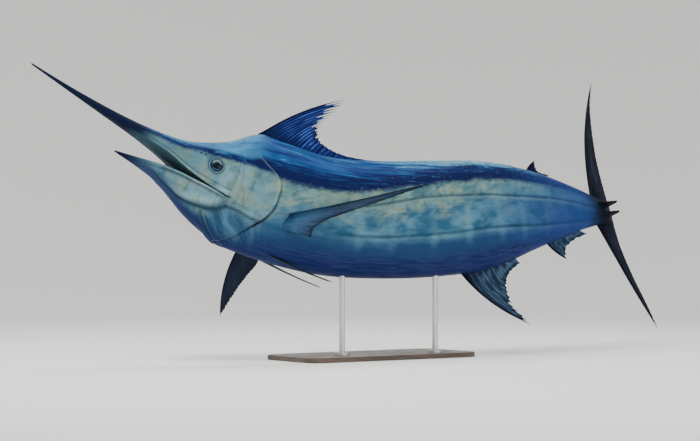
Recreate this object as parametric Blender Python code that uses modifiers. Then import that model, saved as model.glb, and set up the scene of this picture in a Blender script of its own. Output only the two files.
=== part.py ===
"""Life-size museum model of a blue marlin, arched and banked as it turns, on a plain display stand.

Frame: metres, +Z up, origin at the middle of the base's underside. The head points along -X and the left
flank along -Y. A place on the fish is (station, side, up) in hundredths of the body's length, which runs
from the tip of the closed lower jaw (station 0) to the fork of the tail (station 100). Side is towards the
fish's left and up towards its back, both measured from the body's axis. The bill reaches ahead of station 0.
"""

import math

import bmesh
import bpy
import numpy as np
from mathutils import Matrix, Vector

def curve(*points):
    """A smooth function through (x, y) points, with no overshoot between them."""
    xs, ys = np.array(points, float).T
    steps = np.diff(xs)
    slopes = np.diff(ys) / steps
    tangents = np.zeros(len(xs))
    tangents[0], tangents[-1] = slopes[0], slopes[-1]
    for i in range(1, len(xs) - 1):
        if slopes[i - 1] * slopes[i] > 0:
            before = 2 * steps[i] + steps[i - 1]
            after = steps[i] + 2 * steps[i - 1]
            tangents[i] = (before + after) / (before / slopes[i - 1] + after / slopes[i])

    def value(x):
        x = min(max(x, xs[0]), xs[-1])
        i = min(max(int(np.searchsorted(xs, x)) - 1, 0), len(xs) - 2)
        t = (x - xs[i]) / steps[i]
        rise = ys[i] * (1 + 2 * t) * (1 - t) ** 2 + ys[i + 1] * t * t * (3 - 2 * t)
        bend = tangents[i] * t * (1 - t) ** 2 - tangents[i + 1] * t * t * (1 - t)
        return float(rise + steps[i] * bend)

    return value


BODY_LENGTH = 2.70  # lower jaw tip to tail fork
UNIT = BODY_LENGTH / 100
GAP = 0.0003  # clearance between pieces that meet
CUT = GAP / UNIT  # the same clearance in hundredths of the body
GROWN = 1.5 * CUT  # how far the guide that cuts roots stands off the skin
AXIS_HEIGHT = 0.635  # height of the body's axis over the floor at ANCHOR
ANCHOR = 45.0

RING = 32  # points round a body section
LIP = 9  # ring steps from the crest down to the mouth's line
BILL_TIP = -18.5
JAW_TIP = -0.3
CORNER = 17.8  # station of the corner of the mouth
HEAD_END = 27.0
BODY_END = 100.4
TORSO = (("torso_front", 27.0, 41.0), ("torso_middle", 41.0, 57.0), ("torso_rear", 57.0, 73.0),
         ("tail_stock", 73.0, 89.0), ("peduncle", 89.0, BODY_END))
FULLNESS = 0.91  # under 1 fills a section's corners, as muscle does

EYE_PLACE = (14.9, 0.15)  # station and height
EYE_RADIUS = 1.08
EYE_BULGE = 0.45
EYE_SINK = 0.12
LID = (1.18, 0.17)  # ring radius and thickness of the lid round the eye
NOSTRILS = ((11.9, 1.15), (12.7, 1.2))
NOSTRIL_SIZE = (0.006, 0.0035, 0.004)  # metres
LIP_START = 3.0
LIP_SIZE = curve((LIP_START, 0.05), (8, 0.15), (12, 0.24), (CORNER, 0.36), (CORNER + 1.2, 0.08))
JAW_LIP_SIZE = curve((LIP_START, 0.08), (8, 0.16), (14, 0.22), (CORNER, 0.1))

# Half-thicknesses of fin rays and of the webs between them, each at root and tip, in metres
CAUDAL_SIZES = {"ray_size": (0.0070, 0.0011), "web_size": (0.0040, 0.0007)}
PECTORAL_SIZES = {"ray_size": (0.0060, 0.0012), "web_size": (0.0030, 0.0007)}
PELVIC_SIZES = {"ray_size": (0.0036, 0.0012), "web_size": (0.0024, 0.0009)}
SAIL_SIZES = {"ray_size": (0.0042, 0.0010), "web_size": (0.0014, 0.0006)}
FINLET_SIZES = {"ray_size": (0.0026, 0.0009), "web_size": (0.0012, 0.0006)}
FORK = 0.5 * CUT + 0.001  # how far each lobe of the tail stays off the axis

KEEL_STATIONS = (94.6, 100.1)
KEEL_RISE = 0.95  # height of each keel over or under the axis
KEEL_REACH = curve((94.6, 1.2), (97, 2.0), (99.2, 3.2), (100.1, 2.6))
KEEL_HEIGHT = curve((94.6, 0.12), (98, 0.38), (100.1, 0.2))

BASE_SIZE = (0.92, 0.40, 0.022)
BASE_CORNER = 0.06
BASE_EDGE = 0.004
ROD_RADIUS = 0.013
FLANGE_RADIUS = 0.034
FLANGE_HEIGHT = 0.010
ROD_STATIONS = {"front": 39.5, "rear": 55.5}


# The pose: which way the axis runs towards the tail, and how far the back leans right, in degrees by station
YAW = curve((-18.5, -20.5), (0, -17.5), (20, -14.5), (36, -11), (45, -8.5), (60, -2.5), (75, 5), (90, 11),
            (101, 17))
PITCH = curve((-18.5, -33), (0, -31), (12, -26.5), (20, -22), (27, -16.5), (36, -9.5), (45, -3.5), (60, 2),
              (72, 4.5), (80, 3.5), (90, -0.5), (101, -7))
BANK = curve((-18.5, 12), (25, 13), (60, 14), (85, 16.5), (100, 21))

# Body sections by station: how far the skin lies above, below and beside the axis
TOP = curve(
    (-18.5, 0.12), (-12, 0.32), (-6.7, 0.6), (0, 1.15), (5, 1.84), (7.5, 2.3), (10, 3.0), (12.5, 4.1),
    (15, 5.4), (17, 6.6), (18.8, 8.0), (20.5, 9.15), (22.5, 9.75), (26, 9.75), (35, 9.3), (45, 9.6),
    (58, 10.0), (66, 9.8), (72, 9.1), (78, 7.7), (84, 6.0), (90, 4.2), (95, 2.9), (98, 2.45), (100.5, 2.4),
)
BOTTOM = curve(
    (-0.3, 4.9), (3, 5.0), (5, 5.15), (7.5, 5.5), (10, 6.3), (12.5, 7.7), (15, 8.8), (17.8, 9.9), (20, 10.7),
    (22, 10.7), (27, 10.7), (35, 10.8), (45, 10.4), (55, 10.05), (62, 9.7), (70, 8.6), (76, 7.2), (82, 5.9),
    (88, 4.6), (93, 3.5), (97, 2.75), (100.5, 2.6),
)
HALF = curve(
    (-18.5, 0.12), (-12, 0.42), (-6.7, 0.75), (0, 1.35), (5, 2.05), (10, 2.85), (15, 3.75), (20, 4.75),
    (24, 5.4), (28, 5.85), (34, 6.05), (45, 5.95), (55, 5.6), (65, 4.9), (75, 4.0), (82, 3.2), (88, 2.45),
    (94, 1.7), (98, 1.15), (100.5, 0.45),
)
PINCH = curve((-5, 0.0), (10, 0.1), (18, 0.34), (30, 0.3), (60, 0.22), (90, 0.1), (100, 0.0))
# Upper jaw: how far its lip lies under the axis, and how far the palate sags below the lips
GAPE = curve((-18.5, 0.06), (-6.7, 0.35), (0, 0.5), (5, 0.8), (7.5, 1.15), (10, 2.0), (12.5, 2.75),
             (17.8, 4.05))
SAG = curve((-18.5, 0.06), (-6.7, 0.2), (3, 0.35), (7.5, 0.5), (10, 0.1), (13, -0.4), (17.8, -0.5))
# Lower jaw: how far its lip lies under the axis, and half its width
JAW_LIP = curve((-0.3, 4.75), (3, 4.1), (5, 3.7), (7.5, 3.3), (10, 3.2), (12.5, 3.4), (15, 3.65), (17.8, 4.1))
JAW_HALF = curve((-0.3, 0.1), (1, 0.45), (3, 0.95), (5, 1.45), (7.5, 2.0), (10, 2.6), (12.5, 3.2), (15, 3.75),
                 (17.8, 4.3))
# Gill cover: its front and rear edges by ring step from the crest
COVER_FRONT = curve((5.3, 20.2), (7, 19.6), (10, 19.2), (12, 18.5), (16, 18.3))
COVER_REAR = curve((5.3, 21.6), (6, 22.9), (7, 25.1), (7.9, 25.8), (9.2, 25.5), (10.2, 24.6), (11.6, 22.6),
                   (12.4, 21.7), (13.3, 21.0), (14.9, 19.6), (16, 19.2))
COVER_THICKNESS = (0.05, 0.20)  # at the front and at the free rear edge
COVER_STEPS = [5.4] + [6 + 0.65 * k for k in range(16)]
COVER_DEPTH = 0.5  # how far a cover starts inside the skin before it is cut to fit


def axis_path(step=0.25):
    """Points of the axis at even stations, from the pose, with the anchor over the origin."""
    stations = np.arange(BILL_TIP - 2, 120, step)
    points = np.zeros((len(stations), 3))
    for i in range(1, len(stations)):
        yaw, pitch = (math.radians(f((stations[i] + stations[i - 1]) / 2)) for f in (YAW, PITCH))
        along = (math.cos(pitch) * math.cos(yaw), math.cos(pitch) * math.sin(yaw), math.sin(pitch))
        points[i] = points[i - 1] + np.array(along) * step * UNIT
    anchor = [np.interp(ANCHOR, stations, points[:, k]) for k in range(3)]
    return stations, points - anchor + (0, 0, AXIS_HEIGHT)


STATIONS, AXIS = axis_path()


def frame_at(station):
    """Unit vectors towards the tail, the left side and the back at a station."""
    yaw, pitch, bank = (math.radians(f(station)) for f in (YAW, PITCH, BANK))
    tail = Vector((math.cos(pitch) * math.cos(yaw), math.cos(pitch) * math.sin(yaw), math.sin(pitch)))
    level = Vector((math.sin(yaw), -math.cos(yaw), 0))
    upright = level.cross(tail)
    left = level * math.cos(bank) + upright * math.sin(bank)
    back = upright * math.cos(bank) - level * math.sin(bank)
    return tail, left, back


def place(station, side, up):
    """The point of the model at a place on the fish."""
    _, left, back = frame_at(station)
    middle = Vector([np.interp(station, STATIONS, AXIS[:, k]) for k in range(3)])
    return middle + (left * side + back * up) * UNIT


def power(value, exponent):
    return math.copysign(abs(value) ** exponent, value)


def lip_angle(station):
    """The angle from the crest at which a section meets the line of the mouth, carried on behind it."""
    at_corner = math.pi - math.acos((GAPE(CORNER) / BOTTOM(CORNER)) ** (1 / FULLNESS))
    even = math.pi * LIP / (RING / 2)
    share = min(max((station - CORNER) / (HEAD_END - CORNER), 0), 1)
    return at_corner + (even - at_corner) * share


def section(station, angle, grow=0.0):
    """(side, up) of the skin at an angle from the crest, for a whole section."""
    sine, cosine = math.sin(angle), math.cos(angle)
    reach = (TOP(station) if cosine > 0 else BOTTOM(station)) + grow
    pinch = 1 - PINCH(station) * max(cosine, 0) ** 2
    return (HALF(station) + grow) * power(sine, FULLNESS) * pinch, reach * power(cosine, FULLNESS)


def ring_angles(station):
    """Angles of the left half of a ring, crest to keel, with the mouth's line at step LIP."""
    lip = lip_angle(station)
    lower = RING // 2 - LIP
    upper = [lip * i / LIP for i in range(LIP)]
    return upper + [lip + (math.pi - lip) * i / lower for i in range(lower + 1)]


def skin_point(station, step, grow=0.0, side=1):
    """A point on the skin at a station and a ring step, which may lie between two; side -1 is the right."""
    angle = np.interp(step, range(RING // 2 + 1), ring_angles(station))
    across, up = section(station, angle, grow)
    return place(station, side * across, up)


def mirrored(left_half):
    """A whole ring from its left half, which runs from crest to keel."""
    return left_half + [(-side, up) for side, up in reversed(left_half[1:-1])]


def whole_ring(station, grow=0.0):
    return mirrored([section(station, angle, grow) for angle in ring_angles(station)])


def upper_ring(station, grow=0.0):
    """A ring of the head ahead of the mouth's corner, closed below by the palate."""
    lip, top, half = lip_angle(CORNER), TOP(station) + grow, HALF(station) + grow
    gape, sag = GAPE(station) + grow, SAG(station)
    wall = gape / abs(math.cos(lip)) ** FULLNESS
    left = []
    for i in range(LIP + 1):
        sine, cosine = math.sin(lip * i / LIP), math.cos(lip * i / LIP)
        pinch = 1 - PINCH(station) * max(cosine, 0) ** 2
        reach = top if cosine > 0 else wall
        left.append((half * power(sine, FULLNESS) * pinch, reach * power(cosine, FULLNESS)))
    edge, steps = left[-1][0], RING // 2 - LIP
    for i in range(1, steps + 1):
        turn = math.pi / 2 * i / steps
        left.append((edge * math.cos(turn), -gape - sag * math.sin(turn)))
    return mirrored(left)


def jaw_ring(station):
    """A ring of the lower jaw: the throat's curve below, the mouth's floor above."""
    steps = RING // 2 - LIP
    rim = lip_angle(CORNER) + 0.004
    blend = min(max((station - (CORNER - 4)) / 4, 0), 1) ** 2
    top, bottom, half = JAW_LIP(station), BOTTOM(station), JAW_HALF(station)
    outer = []
    for i in range(steps + 1):
        turn = math.pi / 2 * i / steps
        simple = (half * math.cos(turn) ** 0.8, -top - (bottom - top) * math.sin(turn) ** 0.9)
        full = section(station, rim + (math.pi - rim) * i / steps)
        outer.append(tuple(a + (b - a) * blend for a, b in zip(simple, full)))
    edge, level = outer[0]
    dip = 0.25 * (bottom - top)
    floor = [edge * math.cos(math.pi * i / steps) for i in range(1, steps)]
    floor = [(side, level - dip * (1 - (side / edge) ** 2)) for side in floor]
    right = [(-side, up) for side, up in reversed(outer[:-1])]
    return outer + right + [(-side, up) for side, up in floor]


def material(name, colour, roughness, metallic=0.0):
    made = bpy.data.materials.new(name)
    made.use_nodes = True
    shader = made.node_tree.nodes["Principled BSDF"]
    shader.inputs["Base Color"].default_value = (*colour, 1)
    shader.inputs["Roughness"].default_value = roughness
    shader.inputs["Metallic"].default_value = metallic
    made.diffuse_color = (*colour, 1)
    return made


def add(name, bm, look=None):
    """An object from a bmesh, in the model's collection, or among the cutters if it has no look."""
    bmesh.ops.recalc_face_normals(bm, faces=bm.faces)
    if bm.calc_volume(signed=True) < 0:
        bmesh.ops.reverse_faces(bm, faces=bm.faces)
    mesh = bpy.data.meshes.new(name)
    bm.to_mesh(mesh)
    bm.free()
    made = bpy.data.objects.new(name, mesh)
    if look is None:
        bpy.data.collections["cutters"].objects.link(made)
        made.hide_render = True
        made.display_type = "WIRE"
    else:
        bpy.data.collections["blue_marlin"].objects.link(made)
        mesh.materials.append(look)
        smooth(mesh)
    return made


def smooth(mesh):
    mesh.shade_smooth()
    mesh.set_sharp_from_angle(angle=math.radians(40))


def loft(rings, point_start=None, point_end=None):
    """A closed bmesh over rings of world points, each end a flat cap or a point.

    It is split into triangles, so that the skin and the guide that stands off it are split alike.
    """
    bm = bmesh.new()
    loops = [[bm.verts.new(p) for p in ring] for ring in rings]
    for first, second in zip(loops, loops[1:]):
        for i in range(len(first)):
            k = (i + 1) % len(first)
            bm.faces.new((first[i], first[k], second[k]))
            bm.faces.new((first[i], second[k], second[i]))
    for loop, point in ((loops[0], point_start), (loops[-1], point_end)):
        if point is None:
            bm.faces.new(loop)
            continue
        tip = bm.verts.new(point)
        for i in range(len(loop)):
            bm.faces.new((loop[i], loop[(i + 1) % len(loop)], tip))
    bmesh.ops.remove_doubles(bm, verts=bm.verts, dist=1e-5)
    return bm


def world_ring(station, ring):
    return [place(station, side, up) for side, up in ring]


def spaced(start, end, step):
    """Stations from start to end, about a step apart."""
    return list(np.linspace(start, end, max(2, round((end - start) / step) + 1)))


def remove(thing):
    mesh = thing.data
    bpy.data.objects.remove(thing)
    bpy.data.meshes.remove(mesh)


def apply_modifiers(thing):
    """Makes an object's evaluated mesh its own."""
    graph = bpy.context.evaluated_depsgraph_get()
    result = bpy.data.meshes.new_from_object(thing.evaluated_get(graph))
    thing.modifiers.clear()
    old = thing.data
    thing.data = result
    bpy.data.meshes.remove(old)


def cut(thing, cutter, solver="EXACT"):
    """Takes a cutter out of an object, keeping the object's largest closed surface."""
    modifier = thing.modifiers.new("cut", "BOOLEAN")
    modifier.operation = "DIFFERENCE"
    modifier.object = cutter
    modifier.solver = solver
    apply_modifiers(thing)
    keep_largest(thing)


def fuse(thing, extras, solver="EXACT"):
    """Joins closed pieces to the object that they grow from, and removes them."""
    group = bpy.data.collections.new("extras")
    for extra in extras:
        group.objects.link(extra)
    modifier = thing.modifiers.new("fuse", "BOOLEAN")
    modifier.operation = "UNION"
    modifier.operand_type = "COLLECTION"
    modifier.collection = group
    modifier.solver = solver
    apply_modifiers(thing)
    for extra in extras:
        remove(extra)
    bpy.data.collections.remove(group)
    keep_largest(thing)


def keep_largest(thing):
    """Drops the loose scraps that a cut leaves, and shades what stays."""
    bm = bmesh.new()
    bm.from_mesh(thing.data)
    bmesh.ops.remove_doubles(bm, verts=bm.verts, dist=2e-6)
    left, islands = set(bm.verts), []
    while left:
        todo, island = [left.pop()], []
        while todo:
            vertex = todo.pop()
            island.append(vertex)
            for edge in vertex.link_edges:
                other = edge.other_vert(vertex)
                if other in left:
                    left.remove(other)
                    todo.append(other)
        islands.append(island)
    islands.sort(key=len, reverse=True)
    for island in islands[1:]:
        bmesh.ops.delete(bm, geom=island, context="VERTS")
    bm.to_mesh(thing.data)
    bm.free()
    smooth(thing.data)


SNOUT_STEPS = spaced(0, CORNER, 1.5)
HEAD_STEPS = spaced(CORNER, HEAD_END, 1.3)
BILL_STEPS = spaced(BILL_TIP + 0.6, 0, 1.7)


def torso_steps(start, end):
    return spaced(start, end, 2.7 if start < 80 else 1.65)


def body_guide():
    """The whole head and trunk, a little larger than the skin: it cuts each root to fit."""
    rings = [world_ring(s, upper_ring(s, GROWN)) for s in SNOUT_STEPS]
    rings += [world_ring(s, whole_ring(s, GROWN)) for s in HEAD_STEPS]
    for _, start, end in TORSO:
        rings += [world_ring(s, whole_ring(s, GROWN)) for s in torso_steps(start, end)[1:-1]]
        last = end + GROWN if end == BODY_END else end
        rings.append(world_ring(last, whole_ring(last, GROWN)))
    return add("body_guide", loft(rings))


def make_bill(skin):
    steps = BILL_STEPS[:-1] + [-CUT]
    rings = [world_ring(s, upper_ring(s)[::2]) for s in steps]
    return add("bill", loft(rings, point_start=place(BILL_TIP, 0, -0.05)), skin)


def step_at(station, up):
    """The ring step at which a section lies at a height over the axis."""
    angles = ring_angles(station)
    heights = [section(station, angle)[1] for angle in angles]
    return float(np.interp(-up, [-height for height in heights], range(len(heights))))


def surface_frame(station, up, side):
    """A matrix at a place on the skin: Z out of the skin, Y towards the back."""
    step = step_at(station, up)
    here = skin_point(station, step, side=side)
    near = 0.3
    along = skin_point(station + near, step, side=side) - skin_point(station - near, step, side=side)
    down = skin_point(station, step + near, side=side) - skin_point(station, step - near, side=side)
    out = along.cross(down).normalized()
    if out.dot(frame_at(station)[1]) * side < 0:
        out.negate()
    back = (-down - out * (-down).dot(out)).normalized()
    across = back.cross(out)
    return Matrix((across, back, out)).transposed().to_4x4(), here, out


def ellipsoid(name, centre, turn, radii, look=None, segments=20, rings=12):
    bm = bmesh.new()
    bmesh.ops.create_uvsphere(bm, u_segments=segments, v_segments=rings, radius=1.0)
    bm.transform(Matrix.Translation(centre) @ turn @ Matrix.Diagonal((*radii, 1)))
    return add(name, bm, look)


def torus(name, centre, turn, major, minor):
    sizes = {"major_radius": major, "minor_radius": minor, "major_segments": 22, "minor_segments": 6}
    bpy.ops.mesh.primitive_torus_add(**sizes)
    made = bpy.context.object
    made.name = name
    made.data.transform(Matrix.Translation(centre) @ turn)
    for user in list(made.users_collection):
        user.objects.unlink(made)
    bpy.data.collections["cutters"].objects.link(made)
    made.hide_render = True
    made.display_type = "WIRE"
    return made


def tube(name, points, radii, sides=8):
    """A closed tapering tube along points."""
    rings = []
    for i, (point, radius) in enumerate(zip(points, radii)):
        along = (points[min(i + 1, len(points) - 1)] - points[max(i - 1, 0)]).normalized()
        across = along.cross(Vector((0, 0, 1))).normalized()
        over = across.cross(along)
        turns = [2 * math.pi * k / sides for k in range(sides)]
        rings.append([point + (across * math.cos(t) + over * math.sin(t)) * radius for t in turns])
    return add(name, loft(rings))


def upper_lip(side):
    """The upper lip and the bone that ends it, lying on the cheek behind the mouth's corner."""
    points, radii = [], []
    for s in spaced(LIP_START, CORNER + 1.2, 1.4):
        across, up = upper_ring(min(s, CORNER))[LIP]
        behind = max(s - CORNER, 0)
        rise = LIP_SIZE(s) * 1.05 + CUT - 0.25 * behind
        points.append(place(s, side * (across + 0.28 * behind), up + rise))
        radii.append(LIP_SIZE(s) * UNIT)
    return tube("upper_lip", points, radii)


def lower_lip(side):
    """The lower lip, a low roll along the rim of the lower jaw."""
    points, radii = [], []
    for s in spaced(LIP_START, CORNER - 0.5, 1.4):
        across, up = jaw_ring(s)[0]
        points.append(place(s, side * across, up - JAW_LIP_SIZE(s) * 1.1))
        radii.append(JAW_LIP_SIZE(s) * UNIT)
    return tube("lower_lip", points, radii)


def make_head(skin):
    rings = [world_ring(s, upper_ring(s)) for s in SNOUT_STEPS]
    rings += [world_ring(s, whole_ring(s)) for s in HEAD_STEPS[:-1] + [HEAD_END - CUT]]
    head = add("head", loft(rings), skin)
    extras, holes = [], []
    for side in (1, -1):
        turn, here, out = surface_frame(*EYE_PLACE, side)
        centre = here - out * EYE_SINK * UNIT
        extras.append(torus("lid", here - out * EYE_SINK / 2 * UNIT, turn, LID[0] * UNIT, LID[1] * UNIT))
        extras.append(upper_lip(side))
        radii = (EYE_RADIUS * UNIT + GAP, EYE_RADIUS * UNIT + GAP, EYE_BULGE * UNIT + GAP)
        holes.append(ellipsoid("socket", centre, turn, radii))
        for station, up in NOSTRILS:
            turn, here, out = surface_frame(station, up, side)
            holes.append(ellipsoid("nostril", here, turn, NOSTRIL_SIZE, segments=10, rings=6))
    fuse(head, extras)
    for hole in holes:
        cut(head, hole)
        remove(hole)
    return head


def make_eyes(look):
    for name, side in (("eye_left", 1), ("eye_right", -1)):
        turn, here, out = surface_frame(*EYE_PLACE, side)
        radii = (EYE_RADIUS * UNIT, EYE_RADIUS * UNIT, EYE_BULGE * UNIT)
        ellipsoid(name, here - out * EYE_SINK * UNIT, turn, radii, look)


def make_lower_jaw(skin):
    steps = spaced(0.5, CORNER - CUT, 1.45)
    rings = [world_ring(s, jaw_ring(s)) for s in steps]
    tip = place(JAW_TIP, 0, -(JAW_LIP(JAW_TIP) + BOTTOM(JAW_TIP)) / 2)
    jaw = add("lower_jaw", loft(rings, point_start=tip), skin)
    fuse(jaw, [lower_lip(side) for side in (1, -1)])


def make_torso(skin):
    """The trunk in lengths, each ending a gap short of the next."""
    for name, start, end in TORSO:
        steps = torso_steps(start, end)
        if end != BODY_END:
            steps[-1] -= CUT
        add(name, loft([world_ring(s, whole_ring(s)) for s in steps]), skin)


def sheet(name, look, columns, thickness):
    """A closed thin solid on a grid of middle points; each thickness is measured from the middle."""
    rows = len(columns[0])
    sides = []
    for i, column in enumerate(columns):
        pair = []
        for j, point in enumerate(column):
            across = columns[min(i + 1, len(columns) - 1)][j] - columns[max(i - 1, 0)][j]
            along = column[min(j + 1, rows - 1)] - column[max(j - 1, 0)]
            normal = across.cross(along).normalized()
            pair.append((point + normal * thickness[i][j], point - normal * thickness[i][j]))
        sides.append(pair)
    fronts = [[pair[0] for pair in line] for line in sides]
    backs = [[pair[1] for pair in line] for line in sides]
    return shell(name, look, fronts, backs)


def shell(name, look, outer, inner):
    """A closed solid between two grids of points of the same size, split into the same triangles."""
    bm = bmesh.new()
    grids = [[[bm.verts.new(p) for p in line] for line in grid] for grid in (outer, inner)]
    last, rows = len(outer) - 1, len(outer[0])
    for grid in grids:
        for i in range(last):
            for j in range(rows - 1):
                bm.faces.new((grid[i][j], grid[i + 1][j], grid[i + 1][j + 1]))
                bm.faces.new((grid[i][j], grid[i + 1][j + 1], grid[i][j + 1]))
    front, back = grids
    border = [(i, 0) for i in range(last + 1)] + [(last, j) for j in range(1, rows)]
    border += [(i, rows - 1) for i in range(last - 1, -1, -1)] + [(0, j) for j in range(rows - 2, 0, -1)]
    for (i, j), (k, m) in zip(border, border[1:] + border[:1]):
        bm.faces.new((front[i][j], front[k][m], back[k][m]))
        bm.faces.new((front[i][j], back[k][m], back[i][j]))
    return add(name, bm, look)


def path(*points):
    """A smooth path from share 0 to 1 through (share, station, side, up) places."""
    parts = [curve(*((p[0], p[k]) for p in points)) for k in (1, 2, 3)]
    return lambda share: np.array([part(share) for part in parts])


def fin(name, look, guide, root, edge, bow, rays, rows, ray_size, web_size, lead=1.6, notch=0.03):
    """A fin whose rays run from its root path to its edge path, ridges in one thin sheet.

    bow pushes the rays' middles by (station, side, up) on the leading ray, fading to none on the last one.
    ray_size and web_size are (root, tip) half-thicknesses in metres. The root is cut to fit the body.
    """
    columns, thickness = [], []
    count = 2 * rays - 1
    for i in range(count):
        share = i / (count - 1)
        is_web = i % 2 == 1
        start, end = root(share), edge(share)
        length = 1 - notch if is_web else 1.0
        column, half = [], []
        for j in range(rows + 1):
            v = length * j / rows
            middle = start + (end - start) * v + np.array(bow) * 4 * v * (1 - v) * (1 - share)
            column.append(place(*middle))
            root_size, tip_size = web_size if is_web else ray_size
            size = root_size + (tip_size - root_size) * v
            half.append(size * (lead if i == 0 else 1.0))
        columns.append(column)
        thickness.append(half)
    made = sheet(name, look, columns, thickness)
    cut(made, guide)
    return made


def make_dorsal_fins(dark, guide):
    fin(
        "first_dorsal_fin", dark, guide,
        root=path((0, 20.2, 0, 8.0), (0.3, 25.5, 0, 8.8), (0.7, 33.5, 0, 8.4), (0.88, 38, 0, 8.6),
                  (1, 44, 0, 9.0)),
        edge=path((0, 40.4, 0, 20.0), (0.09, 38.9, 0, 18.8), (0.18, 37.3, 0, 17.4), (0.28, 35.5, 0, 16.0),
                  (0.38, 34.3, 0, 14.9), (0.5, 33.8, 0, 13.3), (0.62, 34.6, 0, 11.7), (0.75, 37, 0, 10.7),
                  (0.88, 40, 0, 10.1), (1, 45.5, 0, 9.75)),
        bow=(-1.6, 0, 1.6), rays=18, rows=6, notch=0.04, **SAIL_SIZES,
    )
    fin(
        "second_dorsal_fin", dark, guide,
        root=path((0, 79.0, 0, 6.6), (1, 83.5, 0, 5.6)),
        edge=path((0, 82.6, 0, 9.1), (0.5, 83.6, 0, 7.6), (1, 86.6, 0, 6.3)),
        bow=(-0.4, 0, 0.2), rays=6, rows=3, **FINLET_SIZES,
    )


def make_anal_fins(dark, guide):
    fin(
        "first_anal_fin", dark, guide,
        root=path((0, 60.3, 0, -8.9), (1, 71.5, 0, -7.5)),
        edge=path((0, 72.3, 0, -19.8), (0.15, 70.7, 0, -17.9), (0.3, 69.3, 0, -16.0), (0.5, 69.0, 0, -13.4),
                  (0.7, 69.4, 0, -11.4), (0.85, 70.6, 0, -10.2), (1, 73.0, 0, -9.0)),
        bow=(-1.2, 0, -0.6), rays=13, rows=6, notch=0.04, **SAIL_SIZES,
    )
    fin(
        "second_anal_fin", dark, guide,
        root=path((0, 80.3, 0, -5.3), (1, 88.5, 0, -3.6)),
        edge=path((0, 84.8, 0, -9.2), (0.3, 85.0, 0, -7.6), (0.6, 87.3, 0, -6.1), (1, 92.0, 0, -4.7)),
        bow=(-0.5, 0, -0.3), rays=7, rows=3, **FINLET_SIZES,
    )


def make_paired_fins(dark, guide):
    """The left pectoral is swept back along the flank, the right one is spread outwards and down."""
    fin(
        "pectoral_fin_left", dark, guide,
        root=path((0, 25.9, 4.6, -4.6), (1, 26.7, 4.4, -5.8)),
        edge=path((0, 49.8, 11.0, 3.1), (0.12, 46.2, 10.2, 1.6), (0.3, 40.8, 9.1, -0.6),
                  (0.5, 36.6, 8.3, -2.7), (0.7, 33.4, 7.7, -4.8), (0.85, 32.0, 7.3, -6.3),
                  (1, 31.4, 6.9, -7.2)),
        bow=(0.2, 0.9, -0.1), rays=11, rows=8, notch=0.02, **PECTORAL_SIZES,
    )
    fin(
        "pectoral_fin_right", dark, guide,
        root=path((0, 26.0, -4.4, -4.3), (1, 27.0, -4.2, -5.7)),
        edge=path((0, 31.0, -28.3, -13.7), (0.12, 30.7, -25.2, -12.7), (0.3, 30.2, -20.6, -11.5),
                  (0.5, 29.8, -16.4, -10.4), (0.7, 29.7, -13.0, -9.3), (0.85, 29.8, -11.0, -8.5),
                  (1, 29.6, -9.6, -7.9)),
        bow=(-1.2, 0, 0.3), rays=11, rows=8, notch=0.02, **PECTORAL_SIZES,
    )
    for name, side in (("pelvic_fin_left", 1), ("pelvic_fin_right", -1)):
        fin(
            name, dark, guide,
            root=path((0, 22.8, side * 1.9, -9.0), (1, 22.9, side * 1.2, -9.1)),
            edge=path((0, 37.0, side * 2.3, -12.4), (1, 36.5, side * 2.0, -12.3)),
            bow=(0, 0, 0), rays=3, rows=8, notch=0.0, lead=1.2, **PELVIC_SIZES,
        )


def make_caudal_fin(dark, guide):
    fin(
        "caudal_upper_lobe", dark, guide,
        root=path((0, 96.4, 0, 1.4), (1, 99.9, 0, FORK)),
        edge=path((0, 107.3, 0, 26.9), (0.15, 104.5, 0, 21.8), (0.35, 102.5, 0, 15.5),
                  (0.55, 101.5, 0, 10.2), (0.75, 101.3, 0, 6.0), (0.9, 101.4, 0, 2.8), (1, 101.7, 0, FORK)),
        bow=(-2.4, 0, 0), rays=11, rows=9, notch=0.015, **CAUDAL_SIZES,
    )
    fin(
        "caudal_lower_lobe", dark, guide,
        root=path((0, 95.9, 0, -1.5), (1, 99.9, 0, -FORK)),
        edge=path((0, 107.6, 0, -21.5), (0.15, 106.1, 0, -17.6), (0.35, 103.9, 0, -12.8),
                  (0.55, 102.4, 0, -8.6), (0.75, 101.7, 0, -5.4), (0.9, 101.6, 0, -2.6),
                  (1, 101.7, 0, -FORK)),
        bow=(-0.8, 0, 0), rays=11, rows=9, notch=0.015, **CAUDAL_SIZES,
    )


def make_keels(skin, guide):
    """Two short ridges on each side of the tail's root."""
    for side, side_name in ((1, "left"), (-1, "right")):
        for up, up_name in ((KEEL_RISE, "upper"), (-KEEL_RISE, "lower")):
            rings = []
            for s in spaced(*KEEL_STATIONS, 0.8):
                far, tall = KEEL_REACH(s), KEEL_HEIGHT(s)
                lower = [(0.3, -tall), (far * 0.75, -tall * 0.6)]
                outline = lower + [(far, 0)] + [(across, -over) for across, over in reversed(lower)]
                rings.append([place(s, side * across, up + over) for across, over in outline])
            keel = add(f"keel_{side_name}_{up_name}", loft(rings), skin)
            cut(keel, guide)


def make_gill_covers(skin, guide):
    """Thin shells over the cheeks and throat, free at the rear edge."""
    thin, thick = COVER_THICKNESS
    for name, side in (("gill_cover_left", 1), ("gill_cover_right", -1)):
        outer, inner = [], []
        for step in COVER_STEPS:
            at_end = step in (COVER_STEPS[0], COVER_STEPS[-1])
            line, under = [], []
            for share in np.linspace(0, 1, 7):
                station = COVER_FRONT(step) + (COVER_REAR(step) - COVER_FRONT(step)) * share
                proud = (thin + (thick - thin) * share) * (0.5 if at_end else 1.0)
                line.append(skin_point(station, step, GROWN + 0.03 + proud, side))
                under.append(skin_point(station, step, -COVER_DEPTH, side))
            outer.append(line)
            inner.append(under)
        cover = shell(name, skin, outer, inner)
        cut(cover, guide)


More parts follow.
